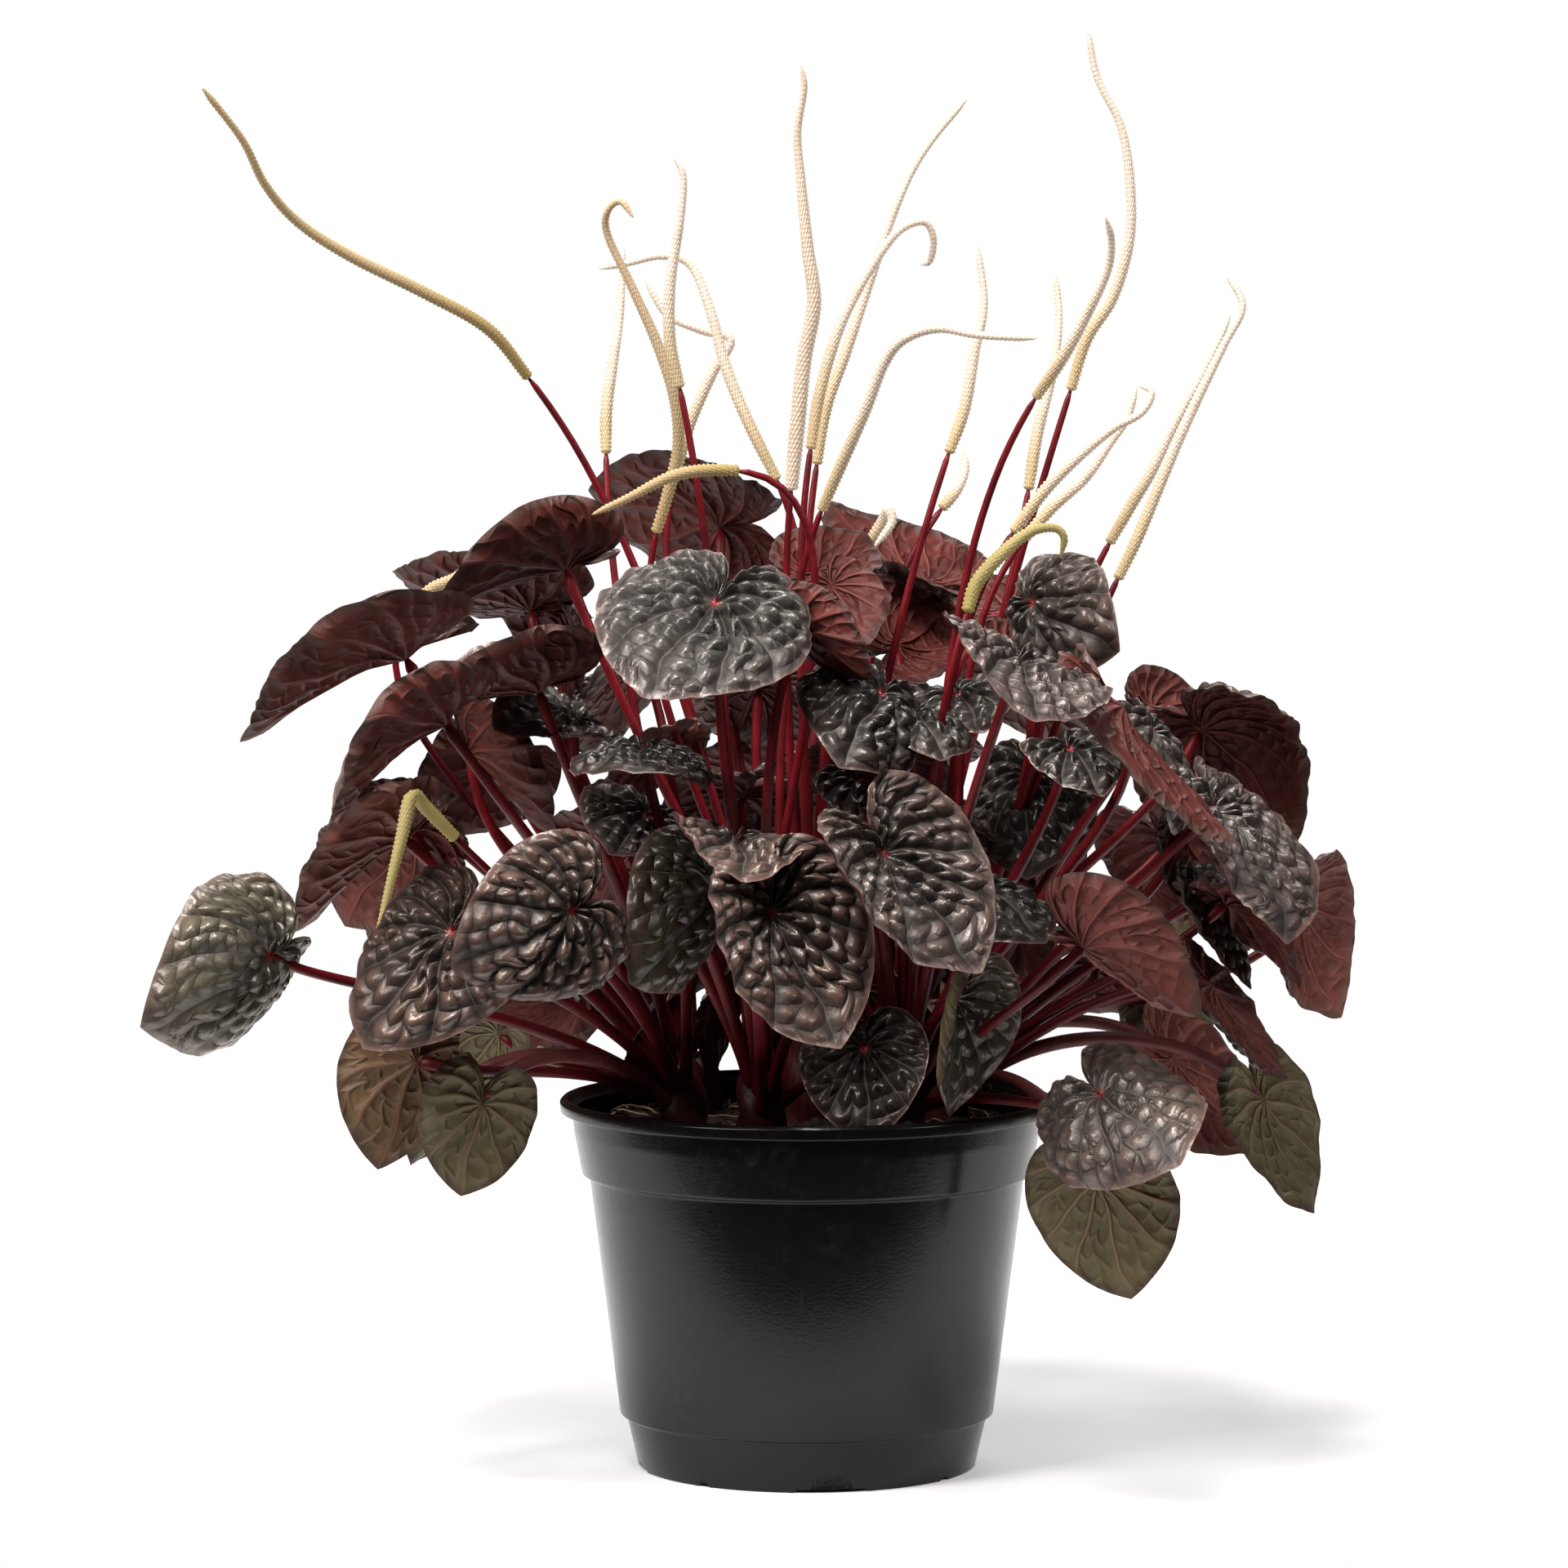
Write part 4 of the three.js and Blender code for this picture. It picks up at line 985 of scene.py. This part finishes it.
colour = leaf_top.mix(1 - radius.ramp(0.9, 2.2), colour, (0.22, 0.02, 0.022, 1))
leaf_top.wire(
    base_color=colour,
    roughness=0.22 + grain * 0.16 + groove_shade * 0.3,
    normal=leaf_top.bump(relief * quilted + grain * 0.1 + dimples * 0.3, 1.5),
)

leaf_under = Finish("leaf underside", specular_ior_level=0.3)
share, radius, relief, off_vein = blade_pattern(leaf_under)
place = leaf_under.place()
cloud = leaf_under.noise(place, 11, 3)
grain = leaf_under.noise(place, 0.9, 2)
raised = (1 - off_vein.ramp(0.25, 1.0)) * (1 - share.ramp(0.7, 1) * 0.7)
netting = 1 - relief.ramp(0.15, 0.7)
paler = leaf_under.node("ShaderNodeMix", {"data_type": "RGBA", "blend_type": "ADD"},
                        {0: 1.0, 6: tint_of(leaf_under), 7: (0.07, 0.024, 0.020, 1)}, 2)
colour = leaf_under.mix(cloud.ramp(0.35, 0.7) * 0.4, tint_of(leaf_under), (0.022, 0.005, 0.004, 1))
colour = leaf_under.mix(raised * 0.6 + netting * 0.3, colour, paler)
colour = leaf_under.mix(share.ramp(0.95, 0.99) * 0.5, colour, (0.14, 0.05, 0.045, 1))
leaf_under.wire(
    base_color=colour,
    roughness=0.48 + cloud * 0.12,
    normal=leaf_under.bump(raised * 0.8 + netting * 1.2 + grain * 0.2, 0.7),
)

stalk_skin = Finish("red stalk", specular_ior_level=0.3, subsurface_weight=0.12,
                    subsurface_radius=(1.0, 0.25, 0.2), subsurface_scale=0.0015)
place = stalk_skin.place()
streaks = stalk_skin.noise(place, 1.1, 2, (1, 1, 0.12))
blush = stalk_skin.noise(place, 13, 2).ramp(0.4, 0.68)
stalk_height_for_shade = stalk_skin.node("ShaderNodeSeparateXYZ", {}, {"Vector": place}, 2) / MM
colour = tint_of(stalk_skin)
colour = stalk_skin.mix(streaks.ramp(0.45, 0.75) * 0.3, colour, (0.30, 0.018, 0.022, 1))
colour = stalk_skin.mix(blush * 0.5, colour, (0.05, 0.003, 0.005, 1))
# Painted shade: the stalks darken towards their foot, low in the crowded middle of the plant.
colour = stalk_skin.mix(0.6 - stalk_height_for_shade.ramp(115, 200) * 0.6, colour, (0.03, 0.004, 0.005, 1))
stalk_skin.wire(
    base_color=colour,
    roughness=0.34 + streaks * 0.16,
    normal=stalk_skin.bump(streaks + stalk_skin.noise(place, 2.4, 1), 0.12),
)

for name, crown in CROWNS.items():
    whole = bmesh.new()
    add_to(whole, tinted(stem(crown), TINTS["stem"]))
    for leaf in crown["leaves"]:
        add_to(whole, leaf_body(leaf))
        low = leaf[0][2] < LOW_LEAF
        path = leaf_stalk(root_on(crown, leaf[0]), leaf)
        radius_at = stalk_radius(*(LOW_STALK if low else LEAF_STALK), BLADE_SWELLING)
        stalk = rod(path, radius_at, STALK_SIDES, 30)
        add_to(whole, tinted(stalk, TINTS["dusty" if low else "crimson"]))
    for _, *points in crown["spikes"]:
        path = flower_stalk(root_on(crown, points[0]), points)
        stalk = rod(path, stalk_radius(*FLOWER_STALK, 0), STALK_SIDES, 34)
        add_to(whole, tinted(stalk, TINTS["crimson"]))
    plant = piece(name + "_crown_of_leaves", whole, [leaf_top, leaf_under, stalk_skin], 75)
    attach(plant, "root")
    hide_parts(name + "_crown")

# The flower spikes
# Rat-tail spikes of hundreds of tiny cream florets packed in rows round a thin fleshy core. Each
# grows on from the tip of its red stalk. Young ones are olive or green.

SPIKE = {
    "foot": 1.6, "middle": 1.8, "tip": 1.0, "foot_round": 0.7, "tip_taper": 5,
    "bead": 0.3, "groove": -0.8, "beads_round": 12, "ring": 0.7,
}
FLORET_TINTS = {
    "cream": ((0.60, 0.49, 0.29), (0.95, 0.85, 0.72)),
    "white": ((0.90, 0.78, 0.64), (0.90, 0.78, 0.64)),
    "straw": ((0.46, 0.36, 0.17), (0.62, 0.50, 0.32)),
    "olive": ((0.34, 0.28, 0.10), (0.46, 0.37, 0.20)),
    "green": ((0.30, 0.29, 0.08), (0.38, 0.36, 0.13)),
}
STOUT = {"white": 1.3, "green": 1.15}


def smooth_path(points, steps):
    """Points along a smooth curve that passes through the given ones."""
    points = [Vector(point) for point in points]
    points = [points[0] * 2 - points[1], *points, points[-1] * 2 - points[-2]]
    path = []
    for before, start, end, after in zip(points, points[1:], points[2:], points[3:]):
        first, last = start + (end - before) / 6, end - (after - start) / 6
        path += bow(start, first, last, end, steps)[:-1]
    return path + [points[-2]]


def spike_body(path, colours, stout):
    """A spike with its florets: rings of beads, each ring set half a bead round from the last."""
    length = sum((end - start).length for start, end in zip(path, path[1:]))
    steps = 2 * ceil(length / SPIKE["ring"] / 2)

    def floret(step, turn):
        if step % 2 == 1:
            return SPIKE["groove"]
        return cos(SPIKE["beads_round"] * turn + pi * (step // 2))

    def radius(v, turn):
        foot = (v * length / SPIKE["foot_round"]) ** 0.5
        ends = min(1, foot, ((1 - v) * length / SPIKE["tip_taper"]) ** 0.6)
        body = mixed(SPIKE["foot"], SPIKE["middle"], smooth(v, 0, 0.15)) * stout
        body = mixed(body, SPIKE["tip"], smooth(v, 0.3, 1))
        return ends * (body + SPIKE["bead"] * (1 - 0.5 * v) * floret(round(v * steps), turn))

    def colour(u, v):
        share = smooth(v, 0.05, 0.5)
        bead = 0.5 + 0.5 * floret(round(v * steps), 2 * pi * u)
        return (*(mixed(*pair, share) for pair in zip(*colours)), bead)

    return rod(path, radius, 2 * SPIKE["beads_round"], steps, colour)


# The florets glow faintly in their own colour: painted light that brightens them.
florets = Finish("cream florets", specular_ior_level=0.35, emission_strength=0.3,
                 subsurface_weight=0.4, subsurface_radius=(1.0, 0.7, 0.4), subsurface_scale=0.002)
place = florets.place()
specks = florets.noise(place, 0.55, 1)
bands = florets.noise(place, 9, 2)
bead = florets.node("ShaderNodeAttribute", {"attribute_name": "tint"}, {}, "Alpha")
colour = florets.mix(specks.ramp(0.5, 0.8) * 0.3, tint_of(florets), (0.42, 0.27, 0.14, 1))
colour = florets.mix(bands.ramp(0.5, 0.75) * 0.25, colour, (0.48, 0.42, 0.22, 1))
colour = florets.mix((1 - bead.ramp(0.1, 0.5)) * 0.6, colour, (0.36, 0.19, 0.10, 1))
florets.wire(
    base_color=colour,
    # Painted light: the florets glow in their own colour.
    emission_color=colour,
    roughness=0.55 + specks * 0.2,
    normal=florets.bump(specks, 0.25),
)

for name, crown in CROWNS.items():
    for number, (tint, *points) in enumerate(crown["spikes"], 1):
        stout = STOUT.get(tint, 1)
        shape = spike_body(smooth_path(points, 12), FLORET_TINTS[tint], stout)
        spike = piece(f"{name}_flower_spike_{number}", shape, [florets], 80)
        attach(spike, "root")
        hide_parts(f"{name}_spike_{number}")

# The studio
# A disc of white paper in soft light: a broad lamp overhead, weaker ones to the left, to the right
# and behind, and the camera where the photographer stood.

FLOOR_RADIUS = 0.6
FLOOR_CENTRE = (0, 0.42, 0)
UNLIT = (50, 53)
LAMP_TINT = (1, 0.98, 0.96)
LAMP_TARGET = Vector((0, 0, 0.22))
LAMPS = [
    ("overhead", (-0.25, -0.7, 1.9), 0.7, 44),
    ("left", (-1.0, -0.9, 1.1), 0.6, 18),
    ("right", (1.3, -0.6, 0.9), 0.5, 6),
    ("back", (0.2, 1.5, 1.6), 1.0, 12),
]
ROOM_LIGHT = 0.05
LENS = 140.8
CAMERA_AT = (-0.00705, -1.881, 0.3405)
CAMERA_DIP = 3.95

floor_shape = bmesh.new()
bmesh.ops.create_circle(floor_shape, cap_ends=True, segments=96, radius=FLOOR_RADIUS,
                        matrix=Matrix.Translation(FLOOR_CENTRE))
# The paper glows: painted light that washes out the plant's shadows, except under the pot, where it
# is left dark.
paper = Finish("white paper floor", specular_ior_level=0.2, emission_strength=0.35)
place = paper.place()
x, y = (paper.node("ShaderNodeSeparateXYZ", {}, {"Vector": place}, i) / MM for i in (0, 1))
painted_glow_mask = ((x * x + y * y) ** 0.5).ramp(*UNLIT)
paper.wire(
    # Painted light: the floor's glow, dark under the pot.
    emission_color=paper.mix(painted_glow_mask, (0, 0, 0, 1), (1, 1, 1, 1)),
    base_color=paper.mix(paper.noise(place, 300, 2), (0.93, 0.93, 0.93, 1), (0.90, 0.90, 0.90, 1)),
    roughness=0.8 + paper.noise(place, 40, 2) * 0.1,
)
floor = piece("floor", floor_shape, [paper])

for name, position, size, power in LAMPS:
    lamp = bpy.data.lights.new(name, "AREA")
    lamp.size = size
    lamp.energy = power
    lamp.color = LAMP_TINT
    holder = bpy.data.objects.new(name, lamp)
    holder.location = position
    aim = LAMP_TARGET - Vector(position)
    holder.rotation_euler = aim.to_track_quat("-Z", "Y").to_euler()
    bpy.context.scene.collection.objects.link(holder)

scene = bpy.context.scene
scene.view_settings.view_transform = "Standard"
scene.world = bpy.data.worlds.new("white room")
scene.world.use_nodes = True
air = scene.world.node_tree
ray = air.nodes.new("ShaderNodeLightPath")
level = air.nodes.new("ShaderNodeMapRange")
level.inputs["To Min"].default_value = ROOM_LIGHT
level.inputs["To Max"].default_value = 1.0
air.links.new(ray.outputs["Is Camera Ray"], level.inputs["Value"])
air.links.new(level.outputs[0], air.nodes["Background"].inputs["Strength"])
air.nodes["Background"].inputs["Color"].default_value = (1, 1, 1, 1)

camera = bpy.data.cameras.new("camera")
camera.lens = LENS
camera.sensor_width = 36
camera.clip_end = 50
view = bpy.data.objects.new("camera", camera)
view.location = CAMERA_AT
view.rotation_euler = (radians(90 - CAMERA_DIP), 0, 0)
scene.collection.objects.link(view)
scene.camera = view
